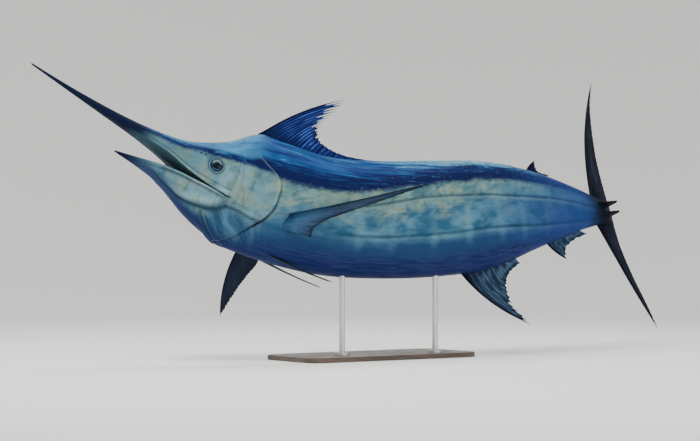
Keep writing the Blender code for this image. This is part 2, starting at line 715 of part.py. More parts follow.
def make_stand(base_look, rod_look, guide):
    length, width, height = BASE_SIZE
    bm = bmesh.new()
    bmesh.ops.create_cube(bm, size=1.0)
    bm.transform(Matrix.Translation((0, 0, height / 2)) @ Matrix.Diagonal((length, width, height, 1)))
    upright = [e for e in bm.edges if abs(e.verts[0].co.z - e.verts[1].co.z) > height / 2]
    bmesh.ops.bevel(bm, geom=upright, offset=BASE_CORNER, segments=8, affect="EDGES", profile=0.5)
    base = add("stand_base", bm, base_look)
    bevel = base.modifiers.new("edge", "BEVEL")
    bevel.width = BASE_EDGE
    bevel.segments = 2
    bevel.limit_method = "ANGLE"
    for name, station in ROD_STATIONS.items():
        foot = place(station, 0, -BOTTOM(station))
        head = place(station, 0, 0)
        bottom = height + GAP
        shoulder = bottom + FLANGE_HEIGHT
        profile = ((FLANGE_RADIUS, bottom), (FLANGE_RADIUS, shoulder), (ROD_RADIUS, shoulder),
                   (ROD_RADIUS, head.z))
        turns = [2 * math.pi * k / 24 for k in range(24)]
        circle = [Vector((math.cos(turn), math.sin(turn), 0)) for turn in turns]
        rings = [[Vector((foot.x, foot.y, z)) + point * radius for point in circle] for radius, z in profile]
        rod = add(f"stand_rod_{name}", loft(rings), rod_look)
        cut(rod, guide)


def collection(name):
    made = bpy.data.collections.new(name)
    bpy.context.scene.collection.children.link(made)
    return made


def main():
    for thing in list(bpy.data.objects):
        bpy.data.objects.remove(thing)
    collection("blue_marlin")
    collection("cutters")
    skin = material("skin", (0.10, 0.24, 0.42), 0.35)
    dark = material("fin", (0.03, 0.06, 0.16), 0.4)
    eye = material("eye", (0.02, 0.04, 0.09), 0.05)
    base_look = material("stand_base", (0.03, 0.03, 0.03), 0.4)
    rod_look = material("stand_rod", (0.6, 0.6, 0.6), 0.25, 1.0)
    guide = body_guide()
    make_bill(skin)
    make_head(skin)
    make_eyes(eye)
    make_lower_jaw(skin)
    make_gill_covers(skin, guide)
    make_torso(skin)
    make_dorsal_fins(dark, guide)
    make_anal_fins(dark, guide)
    make_paired_fins(dark, guide)
    make_caudal_fin(dark, guide)
    make_keels(skin, guide)
    make_stand(base_look, rod_look, guide)


main()
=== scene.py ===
"""The looks of a life-size blue marlin on its display stand: skin, mouth, eyes, fins, keels and stand.

A place on the fish is (station, side, up) in hundredths of the body's length, as in the solids' source:
station 0 is the tip of the closed lower jaw and 100 the fork of the tail, side is towards the fish's left and
up towards its back, both from the body's axis. Round the body, a step runs from 0 at the crest over 9 at the
line of the mouth to 16 at the keel, and is negative on the right.
"""

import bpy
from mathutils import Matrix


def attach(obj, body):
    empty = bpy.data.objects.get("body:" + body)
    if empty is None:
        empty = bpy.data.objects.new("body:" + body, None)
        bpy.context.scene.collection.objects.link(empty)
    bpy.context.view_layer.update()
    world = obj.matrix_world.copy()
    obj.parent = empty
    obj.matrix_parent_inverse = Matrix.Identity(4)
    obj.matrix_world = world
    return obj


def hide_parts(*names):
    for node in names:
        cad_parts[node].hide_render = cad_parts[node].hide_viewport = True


bl_info = {
    "name": "Blue marlin looks",
    "version": (1, 0, 0),
    "blender": (4, 5, 0),
    "location": "3D View > Sidebar > Marlin",
    "description": "Skin, eyes, fins and stand finishes for the packed blue marlin",
    "category": "Object",
}

import math
from functools import lru_cache

import bmesh
import bpy
import numpy as np
from bpy.props import FloatProperty, FloatVectorProperty, IntProperty, PointerProperty
from mathutils import Vector
from mathutils.bvhtree import BVHTree
from mathutils.interpolate import poly_3d_calc

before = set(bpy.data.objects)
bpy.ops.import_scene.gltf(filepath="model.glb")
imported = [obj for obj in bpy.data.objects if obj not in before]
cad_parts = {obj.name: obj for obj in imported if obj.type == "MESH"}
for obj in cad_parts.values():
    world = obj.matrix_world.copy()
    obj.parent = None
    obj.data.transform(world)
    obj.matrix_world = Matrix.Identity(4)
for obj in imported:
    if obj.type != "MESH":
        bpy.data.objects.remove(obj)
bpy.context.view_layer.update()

BODY_LENGTH = 2.70
UNIT = BODY_LENGTH / 100
AXIS_HEIGHT = 0.635
ANCHOR = 45.0
BILL_TIP = -18.5
JAW_TIP = -0.3
CORNER = 17.8
HEAD_END = 27.0
BODY_END = 100.4
FULLNESS = 0.91
LIP = 9
KEEL = 16
EYE_PLACE = (14.9, 0.15)
EYE_RADIUS = 1.08
EYE_BULGE = 0.45
EYE_SINK = 0.12
KEEL_STATIONS = (94.6, 100.1)
KEEL_RISE = 0.95
KEEL_ROOT = 0.15
MERGING = 0.9
SOCKET_RADIUS = 1.5
NAMES = {1: "left", -1: "right"}
NOSTRILS = ((11.9, 1.15), (12.7, 1.2))


def curve(*points):
    """A smooth function through (x, y) points, for numbers or arrays, with no overshoot between them."""
    xs, ys = np.array(points, float).T
    steps = np.diff(xs)
    slopes = np.diff(ys) / steps
    tangents = np.zeros(len(xs))
    tangents[0], tangents[-1] = slopes[0], slopes[-1]
    for i in range(1, len(xs) - 1):
        if slopes[i - 1] * slopes[i] > 0:
            before = 2 * steps[i] + steps[i - 1]
            after = steps[i] + 2 * steps[i - 1]
            tangents[i] = (before + after) / (before / slopes[i - 1] + after / slopes[i])

    def value(x):
        x = np.clip(x, xs[0], xs[-1])
        i = np.clip(np.searchsorted(xs, x) - 1, 0, len(xs) - 2)
        t = (x - xs[i]) / steps[i]
        rise = ys[i] * (1 + 2 * t) * (1 - t) ** 2 + ys[i + 1] * t * t * (3 - 2 * t)
        bend = tangents[i] * t * (1 - t) ** 2 - tangents[i + 1] * t * t * (1 - t)
        return rise + steps[i] * bend

    return value


# The pose: which way the axis runs towards the tail, and how far the back leans right, in degrees by station
YAW = curve((-18.5, -20.5), (0, -17.5), (20, -14.5), (36, -11), (45, -8.5), (60, -2.5), (75, 5), (90, 11),
            (101, 17))
PITCH = curve((-18.5, -33), (0, -31), (12, -26.5), (20, -22), (27, -16.5), (36, -9.5), (45, -3.5), (60, 2),
              (72, 4.5), (80, 3.5), (90, -0.5), (101, -7))
BANK = curve((-18.5, 12), (25, 13), (60, 14), (85, 16.5), (100, 21))

# Body sections by station: how far the skin lies above, below and beside the axis
TOP = curve(
    (-18.5, 0.12), (-12, 0.32), (-6.7, 0.6), (0, 1.15), (5, 1.84), (7.5, 2.3), (10, 3.0), (12.5, 4.1),
    (15, 5.4), (17, 6.6), (18.8, 8.0), (20.5, 9.15), (22.5, 9.75), (26, 9.75), (35, 9.3), (45, 9.6),
    (58, 10.0), (66, 9.8), (72, 9.1), (78, 7.7), (84, 6.0), (90, 4.2), (95, 2.9), (98, 2.45), (100.5, 2.4),
)
BOTTOM = curve(
    (-0.3, 4.9), (3, 5.0), (5, 5.15), (7.5, 5.5), (10, 6.3), (12.5, 7.7), (15, 8.8), (17.8, 9.9), (20, 10.7),
    (22, 10.7), (27, 10.7), (35, 10.8), (45, 10.4), (55, 10.05), (62, 9.7), (70, 8.6), (76, 7.2), (82, 5.9),
    (88, 4.6), (93, 3.5), (97, 2.75), (100.5, 2.6),
)
HALF = curve(
    (-18.5, 0.12), (-12, 0.42), (-6.7, 0.75), (0, 1.35), (5, 2.05), (10, 2.85), (15, 3.75), (20, 4.75),
    (24, 5.4), (28, 5.85), (34, 6.05), (45, 5.95), (55, 5.6), (65, 4.9), (75, 4.0), (82, 3.2), (88, 2.45),
    (94, 1.7), (98, 1.15), (100.5, 0.45),
)
PINCH = curve((-5, 0.0), (10, 0.1), (18, 0.34), (30, 0.3), (60, 0.22), (90, 0.1), (100, 0.0))
GAPE = curve((-18.5, 0.06), (-6.7, 0.35), (0, 0.5), (5, 0.8), (7.5, 1.15), (10, 2.0), (12.5, 2.75),
             (17.8, 4.05))
SAG = curve((-18.5, 0.06), (-6.7, 0.2), (3, 0.35), (7.5, 0.5), (10, 0.1), (13, -0.4), (17.8, -0.5))
JAW_LIP = curve((-0.3, 4.75), (3, 4.1), (5, 3.7), (7.5, 3.3), (10, 3.2), (12.5, 3.4), (15, 3.65), (17.8, 4.1))
JAW_HALF = curve((-0.3, 0.1), (1, 0.45), (3, 0.95), (5, 1.45), (7.5, 2.0), (10, 2.6), (12.5, 3.2), (15, 3.75),
                 (17.8, 4.3))
KEEL_REACH = curve((94.6, 1.2), (97, 2.0), (99.2, 3.2), (100.1, 2.6))
KEEL_HEIGHT = curve((94.6, 0.12), (98, 0.38), (100.1, 0.2))
COVER_REAR = curve((0, 21.2), (4.5, 21.35), (5.3, 21.6), (6, 22.9), (7, 25.1), (7.9, 25.8), (9.2, 25.5),
                   (10.2, 24.6), (11.6, 22.6), (12.4, 21.7), (13.3, 21.0), (14.9, 19.6), (16, 19.2))


def headings(station):
    """Unit vectors towards the tail, the left side and the back, as arrays over stations."""
    yaw, pitch, bank = (np.radians(f(station)) for f in (YAW, PITCH, BANK))
    tail = np.stack([np.cos(pitch) * np.cos(yaw), np.cos(pitch) * np.sin(yaw), np.sin(pitch)], -1)
    level = np.stack([np.sin(yaw), -np.cos(yaw), np.zeros_like(yaw)], -1)
    upright = np.cross(level, tail)
    lean, rest = np.sin(bank)[..., None], np.cos(bank)[..., None]
    return tail, level * rest + upright * lean, upright * rest - level * lean


def axis_path(step=0.25):
    """Points of the axis at even stations, from the pose, with the anchor over the origin."""
    stations = np.arange(BILL_TIP - 2, 120, step)
    tail = headings((stations[1:] + stations[:-1]) / 2)[0]
    points = np.vstack([np.zeros(3), np.cumsum(tail * step * UNIT, axis=0)])
    anchor = [np.interp(ANCHOR, stations, points[:, k]) for k in range(3)]
    return stations, points - anchor + (0, 0, AXIS_HEIGHT)


STATIONS, AXIS = axis_path()


def place(station, side, up):
    """Points of the model, as an array of (x, y, z), at places on the fish."""
    station, side, up = np.broadcast_arrays(np.asarray(station, float), side, up)
    _, left, back = headings(station)
    middle = np.stack([np.interp(station, STATIONS, AXIS[:, k]) for k in range(3)], -1)
    return middle + (left * side[..., None] + back * up[..., None]) * UNIT


def power(value, exponent):
    return np.sign(value) * np.abs(value) ** exponent


LIP_AT_CORNER = math.pi - math.acos((GAPE(CORNER) / BOTTOM(CORNER)) ** (1 / FULLNESS))


def angle_at(station, step):
    """The angle from the crest at a step."""
    share = np.clip((station - CORNER) / (HEAD_END - CORNER), 0, 1)
    lip = LIP_AT_CORNER + (math.pi * LIP / KEEL - LIP_AT_CORNER) * share
    below = lip + (math.pi - lip) * (step - LIP) / (KEEL - LIP)
    return np.where(step < LIP, lip * step / LIP, below)


def whole_section(station, step):
    """(side, up) of the skin behind the mouth's corner."""
    angle = angle_at(station, np.abs(step))
    sine, cosine = np.sin(angle), np.cos(angle)
    reach = np.where(cosine > 0, TOP(station), BOTTOM(station))
    pinch = 1 - PINCH(station) * np.maximum(cosine, 0) ** 2
    return HALF(station) * power(sine, FULLNESS) * pinch * np.sign(step), reach * power(cosine, FULLNESS)


def upper_section(station, step):
    """(side, up) of the head's skin above the open mouth, for steps up to LIP."""
    angle = LIP_AT_CORNER * np.abs(step) / LIP
    sine, cosine = np.sin(angle), np.cos(angle)
    wall = GAPE(station) / abs(math.cos(LIP_AT_CORNER)) ** FULLNESS
    reach = np.where(cosine > 0, TOP(station), wall)
    pinch = 1 - PINCH(station) * np.maximum(cosine, 0) ** 2
    return HALF(station) * power(sine, FULLNESS) * pinch * np.sign(step), reach * power(cosine, FULLNESS)


def jaw_section(station, step):
    """(side, up) of the lower jaw's skin, for steps from LIP."""
    share = (np.abs(step) - LIP) / (KEEL - LIP)
    turn = math.pi / 2 * np.clip(share, 0, 1)
    top, bottom, half = JAW_LIP(station), BOTTOM(station), JAW_HALF(station)
    blend = np.clip((station - (CORNER - 4)) / 4, 0, 1) ** 2
    side = half * power(np.cos(turn), 0.8)
    up = -top - (bottom - top) * power(np.sin(turn), 0.9)
    full_side, full_up = whole_section(station, np.abs(step))
    return (side + (full_side - side) * blend) * np.sign(step), up + (full_up - up) * blend


# Markings on the flank, by station: each gives the height over the axis, read off the near side
BACK_EDGE = curve(
    (-18.5, -3.0), (0, -2.6), (1.8, -0.5), (3.3, 0.12), (8.5, 0.33), (10.9, 0.89), (12.9, 1.19), (15.4, 1.56),
    (17.7, 1.81), (20, 1.96), (23.7, 1.88), (25.7, 1.48), (27.5, 1.38), (29.6, 1.47), (33.5, 1.63),
    (36.7, 1.92), (39.8, 2.22), (43.7, 2.92), (48, 3.7), (52.5, 4.21), (57.9, 4.96), (62.5, 5.01),
    (64.6, 5.5), (66.8, 5.32), (72.4, 4.86), (78, 4.01), (82.3, 3.22), (86.4, 2.48), (90.6, 1.65),
    (94.8, 1.12), (100.4, 0.6),
)
BAND_TOP = curve(
    (-18.5, 0.1), (0, 0.75), (3, 1.05), (5.6, 1.29), (8.2, 1.5), (10.6, 2.04), (13.1, 2.66), (15.6, 3.13),
    (20.1, 3.3), (21.7, 3.93), (24.1, 4.17), (29.6, 4.3), (38.3, 4.56), (42.2, 4.87), (48.4, 5.92),
    (54.9, 6.93), (61.7, 7.45), (68.7, 7.34), (76.2, 6.78), (82.5, 5.51), (87.6, 4.2), (92.8, 2.64),
    (100.4, 1.8),
)
UPPER_LINE = curve(
    (26, -1.6), (38.9, -0.3), (43.4, 0.61), (47.2, 1.38), (52.4, 2.33), (58.3, 2.66), (64.4, 2.72),
    (69.4, 2.33), (75.1, 1.82), (79.2, 1.44), (83.3, 1.02), (87.7, 0.48), (92.3, -0.05), (100, -0.4),
)
LOWER_LINE = curve(
    (24, -6.8), (33, -5.4), (38.3, -5.04), (43.4, -4.83), (48.7, -4.38), (53.7, -3.94), (57.2, -3.70),
    (60.7, -3.36), (64.5, -3.07), (69.4, -3.07), (75.1, -3.29), (82.1, -3.2), (88.8, -2.8), (98, -1.8),
)
BELLY_EDGE = curve(
    (-1, -5.6), (5, -5.4), (10, -6.5), (15, -9.2), (20, -10.2), (23.9, -9.5), (28.2, -9), (34.3, -8.6),
    (40.7, -8.27), (47.4, -8.1), (54.6, -7.72), (62.3, -7), (71.2, -6.05), (82.4, -4.7), (92, -3.2),
    (100.4, -2.2),
)
BARS = (40.0, 45.8, 53.3, 60.2, 67.1, 72.5, 78.6, 84.2)

# Folds of the head, as (station, step)
MANDIBLE_FOLD = ((5.8, 12.15), (8.1, 14.2), (11, 14.15), (13.3, 12.85), (14.9, 12.1), (16.4, 11.3),
                 (18.3, 10.0))
GULAR_FOLD = ((14.7, 12.05), (15.8, 13.35), (16.8, 14.1), (18.5, 15.2), (20.3, 15.9))
COVER_FOLD = ((18.3, 10.0), (19.4, 9.9), (20.7, 10.1), (22.4, 10.5), (23.8, 10.75))
CHEEK_FOLD = ((18.2, 4.9), (19.0, 6.2), (19.5, 7.6), (19.6, 9.0), (18.9, 9.9))

# How far the gill cover's free edge stands off, by step, and its rows: (ahead of the edge where it lies flat,
# ahead of it where it is free, height in shares of the full one), all in hundredths of the body
COVER_FREE = curve((0, 0), (5.0, 0), (6.2, 0.8), (7.5, 1), (11, 1), (13.5, 0.75), (15.2, 0.5), (16, 0.4))
COVER_HEIGHT = 0.2
COVER_ROWS = (
    (0.45, 0.42, 0.96), (0.32, 0.26, 1.0), (0.22, 0.14, 0.98), (0.14, 0.06, 0.88), (0.07, 0.015, 0.66),
    (0.0, 0.0, 0.3), (-0.07, 0.05, -0.25), (-0.15, 0.12, -0.75), (-0.23, -0.02, -1.0), (-0.32, -0.16, -0.8),
    (-0.45, -0.38, -0.3), (-0.62, -0.6, 0.0),
)
COVER_BLEND_END = 34.0


def smooth(value, low=0.0, high=1.0):
    """A soft step from 0 at low to 1 at high."""
    t = np.clip((value - low) / (high - low), 0, 1)
    return t * t * (3 - 2 * t)


def hump(value, middle, width):
    """A soft hump of height 1."""
    return np.exp(-(((value - middle) / width) ** 2))


INSIDE = (0.0, 1.0, 0.0, 0.0, 0.0)


def ring_faces(first, second):
    """Faces between two closed rows of as many points."""
    return list(zip(first, np.roll(first, -1), np.roll(second, -1), second))


def fan_faces(loop, tip):
    """Triangles from a closed row of points to one point."""
    return [(a, b, tip) for a, b in zip(loop, np.roll(loop, -1))]


def tube_faces(rings):
    """Faces of a tube, given the point numbers of its rings."""
    return [face for first, second in zip(rings, rings[1:]) for face in ring_faces(first, second)]


class Net:
    """A mesh in the making: points, places, faces and masks of painted shade, inside, slit shade, painted
    highlight and brown.
    """

    def __init__(self):
        self.parts = []
        self.faces = []
        self.count = 0

    def add(self, station, side, up, normal=None, lift=0.0, marks=(0.0, 0.0, 0.0, 0.0, 0.0)):
        """Adds points and returns their numbers."""
        values = [np.atleast_1d(np.asarray(v, float)) for v in (station, side, up, lift)]
        station, side, up, lift = np.broadcast_arrays(*values)
        points = place(station, side, up)
        if normal is not None:
            points = points + normal * (lift * UNIT)[..., None]
        marks = np.stack([np.broadcast_to(m, station.shape) for m in marks], -1)
        where = np.stack([station, side, up], -1)
        self.parts.append((points.reshape(-1, 3), where.reshape(-1, 3), marks.reshape(-1, 5)))
        numbers = np.arange(self.count, self.count + station.size)
        self.count += station.size
        return numbers

    def arrays(self):
        return [np.concatenate([part[k] for part in self.parts]) for k in range(3)]


def base_normal(section, station, step, centre):
    """Unit normals of a section surface, away from a height over the axis."""
    near = 0.04

    def point(ds, dk):
        side, up = section(station + ds, step + dk)
        return place(station + ds, side, up)

    along = point(near, 0) - point(-near, 0)
    across = point(0, near) - point(0, -near)
    normal = np.cross(along, across)
    normal /= np.linalg.norm(normal, axis=-1)[..., None] + 1e-12
    side, up = section(station, step)
    outward = place(station, side, up) - place(station, 0.0, centre)
    return normal * np.sign((normal * outward).sum(-1))[..., None]


def from_lip(side, up, lip_column):
    """Length along each ring from the lip's column, in hundredths of the body, growing along the columns."""
    lengths = np.hypot(np.diff(side, axis=-1), np.diff(up, axis=-1))
    total = np.concatenate([np.zeros(side.shape[:-1] + (1,)), np.cumsum(lengths, axis=-1)], -1)
    return total - total[..., lip_column:lip_column + 1]


def off_line(station, step, line, spread=1.0):
    """Signed distance from a line of (station, step) points, positive towards the crest, and 1 beside it.

    A step is taken as spread hundredths of the body.
    """
    here = np.stack([station, step * spread], -1)
    points = np.array(line, float) * (1, spread)
    best = np.full(station.shape, 1e9)
    signed = np.zeros(station.shape)
    for a, b in zip(points, points[1:]):
        t = np.clip(((here - a) @ (b - a)) / ((b - a) @ (b - a)), 0, 1)
        gap = here - (a + t[..., None] * (b - a))
        size = np.hypot(gap[..., 0], gap[..., 1])
        turn = (b - a)[0] * gap[..., 1] - (b - a)[1] * gap[..., 0]
        closer = size < best
        best = np.where(closer, size, best)
        signed = np.where(closer, np.where(turn * np.sign((b - a)[0] + 1e-9) < 0, size, -size), signed)
    return signed

UPPER_LIP_WIDTH = curve((3, 0.15), (8, 0.3), (12, 0.5), (15.5, 0.85), (18.6, 1.0))
UPPER_LIP_HEIGHT = curve((2, 0), (5, 0.08), (10, 0.17), (17, 0.26), (18.7, 0.24))
LOWER_LIP_HEIGHT = curve((0, 0), (4, 0.07), (9, 0.13), (15, 0.13), (17.8, 0.04))


def lips(station, below):
    """Relief, painted shade, painted highlight and brown of the lips; below is the length from the lip,
    negative up the cheek.
    """
    above = -below
    width = UPPER_LIP_WIDTH(station)
    height = UPPER_LIP_HEIGHT(station) * (1 - smooth(station, 18.25, 18.75))
    upper = height * smooth(above, -0.06, 0.16) * (1 - smooth(above, width - 0.12, width + 0.12))
    lower = LOWER_LIP_HEIGHT(station) * smooth(below, -0.04, 0.12) * (1 - smooth(below, 0.34, 0.62))
    behind = smooth(station, CORNER - 0.2, CORNER + 0.1) * (1 - smooth(station, 18.5, 19.0))
    line = behind * hump(below, 0.03, 0.07)
    rim = smooth(station, 3, 8) * hump(above, width + 0.12, 0.12) * (1 - smooth(station, 18.3, 18.9))
    fold = smooth(station, 2, 7) * hump(below, 0.78, 0.1) * (1 - smooth(station, 16.4, 17.4))
    lobe = hump(station, 17.4, 0.9) * hump(above, 0.5, 0.36)
    under = hump(station, 17.6, 0.9) * hump(below, 0.0, 0.1)
    relief = (np.where(below <= 0, upper + 0.14 * lobe, lower) - 0.14 * line - 0.07 * rim - 0.07 * fold
              - 0.1 * under)
    ends = 1 - smooth(station, 16.6, 18.0)
    # Painted highlights on the maxilla's lobe and along both lips
    light = 0.55 * lobe + 0.35 * smooth(station, 2, 5) * hump(above, 0.14, 0.1) * ends
    light = np.maximum(light, 0.25 * smooth(station, 4, 7) * hump(below, 0.2, 0.12) * ends)
    brown = smooth(station, 6, 9) * hump(below, 0.5, 0.14) * ends
    return relief, np.clip(line + 0.6 * rim + 0.35 * fold + under, 0, 1), light, brown


def head_folds(station, step):
    """Relief, painted shade, painted highlight and brown of the folds of the head."""
    k = np.abs(step)
    mandible = off_line(station, k, MANDIBLE_FOLD, 0.8)
    start = smooth(station, 5, 8)
    relief = start * (0.20 * hump(mandible, 0.75, 0.75) - 0.12 * hump(mandible, -0.05, 0.28))
    shade = start * hump(mandible, -0.08, 0.3)
    # Painted highlights on the jaw's bulge, beside the gular and cover folds and along the gill cover's edge
    light = 0.5 * smooth(station, 8, 12) * hump(mandible, 0.7, 0.5) * (1 - smooth(station, 15.5, 18))
    gular = off_line(station, k, GULAR_FOLD, 0.8)
    relief = relief + 0.08 * hump(gular, 0.45, 0.4) - 0.12 * hump(gular, 0, 0.16)
    shade = np.maximum(shade, 0.6 * hump(gular, 0, 0.2))
    light = np.maximum(light, 0.15 * hump(gular, 0.3, 0.15))
    cover = off_line(station, k, COVER_FOLD, 0.85)
    relief = relief - 0.13 * hump(cover, -0.02, 0.13) + 0.06 * hump(cover, 0.35, 0.25)
    shade = np.maximum(shade, hump(cover, -0.03, 0.13))
    light = np.maximum(light, 0.3 * hump(cover, 0.22, 0.12))
    cheek = off_line(station, k, CHEEK_FOLD, 0.9)
    relief = relief - 0.035 * hump(cheek, 0, 0.16)
    shade = np.maximum(shade, 0.3 * hump(cheek, 0, 0.14))
    throat = smooth(-cover, 0.3, 0.8) * smooth(gular, 0.2, 0.5) * smooth(k, 10.2, 11)
    throat = throat * smooth(station, 15.5, 16.5) * (1 - smooth(station, 21.0, 22.5))
    relief = relief + 0.045 * throat * np.cos(2 * math.pi * gular / 0.9)
    ahead = COVER_REAR(k) - station
    free = COVER_FREE(k)
    light = np.maximum(light, 0.32 * free * hump(ahead, 0.36, 0.12) * (1 - smooth(k, 9.5, 11)))
    light = np.maximum(light, 0.5 * (1 - free) * hump(ahead, 0.1, 0.09) * smooth(k, 5.0, 5.8))
    # Painted shade in the gill slit behind the cover's free edge
    slit = free * hump(k, 10.95, 0.42) * hump(ahead, -0.06, 0.26)
    rim = 0.6 * free * hump(ahead, 0.1, 0.12) * smooth(k, 9, 10.2) * (1 - smooth(k, 11.4, 12))
    return relief, np.clip(np.maximum(shade, slit), 0, 1), light, np.maximum(slit, rim)


def trunk_relief(station, step, up):
    """Relief of the flank's two lines, the pectoral fin's shoulder and a groove along the crest."""
    upper = hump(up, UPPER_LINE(station), 0.3) * smooth(station, 36, 44)
    lower = hump(up, LOWER_LINE(station), 0.3) * smooth(station, 34, 40)
    fade = 1 - smooth(station, 84, 94)
    shoulder = hump(station, 26.6, 1.3) * hump(np.abs(step), 9.9, 0.9)
    groove = hump(np.abs(step), 0, 0.35) * smooth(station, 44, 48) * (1 - smooth(station, 76, 80))
    return -0.075 * fade * (upper + lower) + 0.16 * shoulder - 0.08 * groove


def ring_steps(columns, clustered):
    """Steps from 0 to 1 in columns parts, closer together towards 1 by a share."""
    t = np.linspace(0, 1, 400)
    density = 1 + 4.0 * clustered * hump(t, 1, 0.06)
    total = np.concatenate([[0], np.cumsum((density[1:] + density[:-1]) / 2)])
    return np.interp(np.linspace(0, total[-1], columns + 1), total, t)


def half_steps(upper, lower, clustered):
    above = LIP * ring_steps(upper, clustered)
    below = KEEL - (KEEL - LIP) * ring_steps(lower, clustered)[::-1]
    return np.concatenate([above, below[1:]])


def add_skin(net, section, station, step, centre, below, cover=0.0, slit=0.0, ends="ring"):
    """Adds a patch of skin, given for the left half, on both sides, and returns its numbers as a grid.

    ends says which columns the right half leaves out: "ring" both ends, "jaw" the keel, "snout" the crest.
    """
    side, up = section(station, step)
    lift, shade, light, brown = lips(station, below)
    fold, fold_shade, fold_light, fold_brown = head_folds(station, step)
    lift = lift + fold + cover
    light, brown = np.maximum(light, fold_light), np.maximum(brown, fold_brown)
    if section is whole_section:
        lift = lift + trunk_relief(station, step, up)
    shade = np.maximum(shade, fold_shade)
    halves = []
    for sign in (1, -1):
        normal = base_normal(section, station, sign * step, centre)
        underside = 0 * station
        # Painted shade: where the upper lip faces down it takes the dark colours of the mouth's inside
        if section is upper_section:
            underside = down_share(place(station, sign * side, up) + normal * lift[..., None] * UNIT, normal)
            underside = underside * (1 - smooth(-below, 0.5, 1.3))
        marks = (shade, underside, slit + 0 * station, light, brown)
        halves.append((station, sign * side, up, lift, normal, *marks))
    cut = {"ring": slice(-2, 0, -1), "jaw": slice(-2, None, -1), "snout": slice(None, 0, -1)}[ends]
    if ends == "snout":
        groups = [halves[0], tuple(a[:, cut] for a in halves[1])]
    else:
        groups = [tuple(np.concatenate([a, b[:, cut]], axis=1) for a, b in zip(*halves))]
    numbers = []
    for s, across, high, rise, normal, *marks in groups:
        made = net.add(s.ravel(), across.ravel(), high.ravel(), normal.reshape(-1, 3), rise.ravel(),
                       [mark.ravel() for mark in marks])
        numbers.append(made.reshape(s.shape))
    return numbers if ends == "snout" else numbers[0]


def down_share(points, outward):
    """1 where a grid of points faces down, 0 where it faces sideways or up."""
    normal = np.cross(np.gradient(points, axis=0), np.gradient(points, axis=1))
    normal *= np.sign((normal * outward).sum(-1))[..., None]
    falling = -normal[..., 2] / (np.linalg.norm(normal, axis=-1) + 1e-15)
    return smooth(falling, 0.35, 0.7)


def trunk_grid(sizes):
    """Stations, steps, cover relief and slit shade of the left half's rows behind the mouth's corner."""
    upper, lower = sizes.columns_above, sizes.columns_below
    head = half_steps(upper, lower, 1.0)
    rear = COVER_REAR(head)
    free = COVER_FREE(head)
    rows = []
    first_flat, first_free, _ = COVER_ROWS[0]
    limit = rear - (first_flat + (first_free - first_flat) * free)
    for t in np.linspace(0, 1, sizes.cheek_rows, endpoint=False):
        station = CORNER + (limit - CORNER) * t
        height = COVER_HEIGHT * free * hump(rear - station, 0.45, 2.2) * COVER_ROWS[0][2] * smooth(t, 0, 0.35)
        rows.append((station, head, height, 0 * head))
    for flat, under, share in COVER_ROWS:
        station = rear - (flat + (under - flat) * free)
        # Painted shade in the gill slit, on the rows under the cover's edge
        dark = free * max(-share, 0) * (0.3 + 0.7 * hump(head, 10.9, 1.3))
        rows.append((station, head, COVER_HEIGHT * free * share, dark))
    last = rows[-1][0]
    for t in np.linspace(0, 1, sizes.shoulder_rows + 1)[1:]:
        step = half_steps(upper, lower, 1 - smooth(t))
        start = np.interp(step, head, last)
        rows.append((start + (COVER_BLEND_END - start) * t, step, 0 * head, 0 * head))
    even = half_steps(upper, lower, 0.0)
    for station in np.linspace(COVER_BLEND_END, BODY_END, sizes.trunk_rows + 1)[1:]:
        rows.append((station + 0 * even, even, 0 * head, 0 * head))
    return [np.stack(values) for values in zip(*rows)]


def palate_row(station, columns):
    """(side, up) of the palate from the left lip to the right, without the lips."""
    turn = math.pi * np.arange(1, columns) / columns
    edge = upper_section(station, np.array([float(LIP)]))[0][0]
    ridge = 0.12 * smooth(station, 2, 8) * hump(np.cos(turn), 0, 0.18)
    return edge * np.cos(turn), -GAPE(station) - SAG(station) * np.sin(turn) - ridge


def floor_row(station, columns):
    """(side, up) of the mouth's floor from the right lip to the left, without the lips."""
    side, up = jaw_section(station, np.array([float(LIP)]))
    edge, level = side[0], up[0]
    dip = 0.25 * (BOTTOM(station) - JAW_LIP(station))
    turn = math.pi * np.arange(1, columns) / columns
    across = -edge * np.cos(turn)
    tongue = 0.5 * smooth(station, 5, 8) * (1 - smooth(station, 14, 17)) * hump(across / edge, 0, 0.38)
    return across, level - dip * (1 - (across / edge) ** 2) + tongue * dip


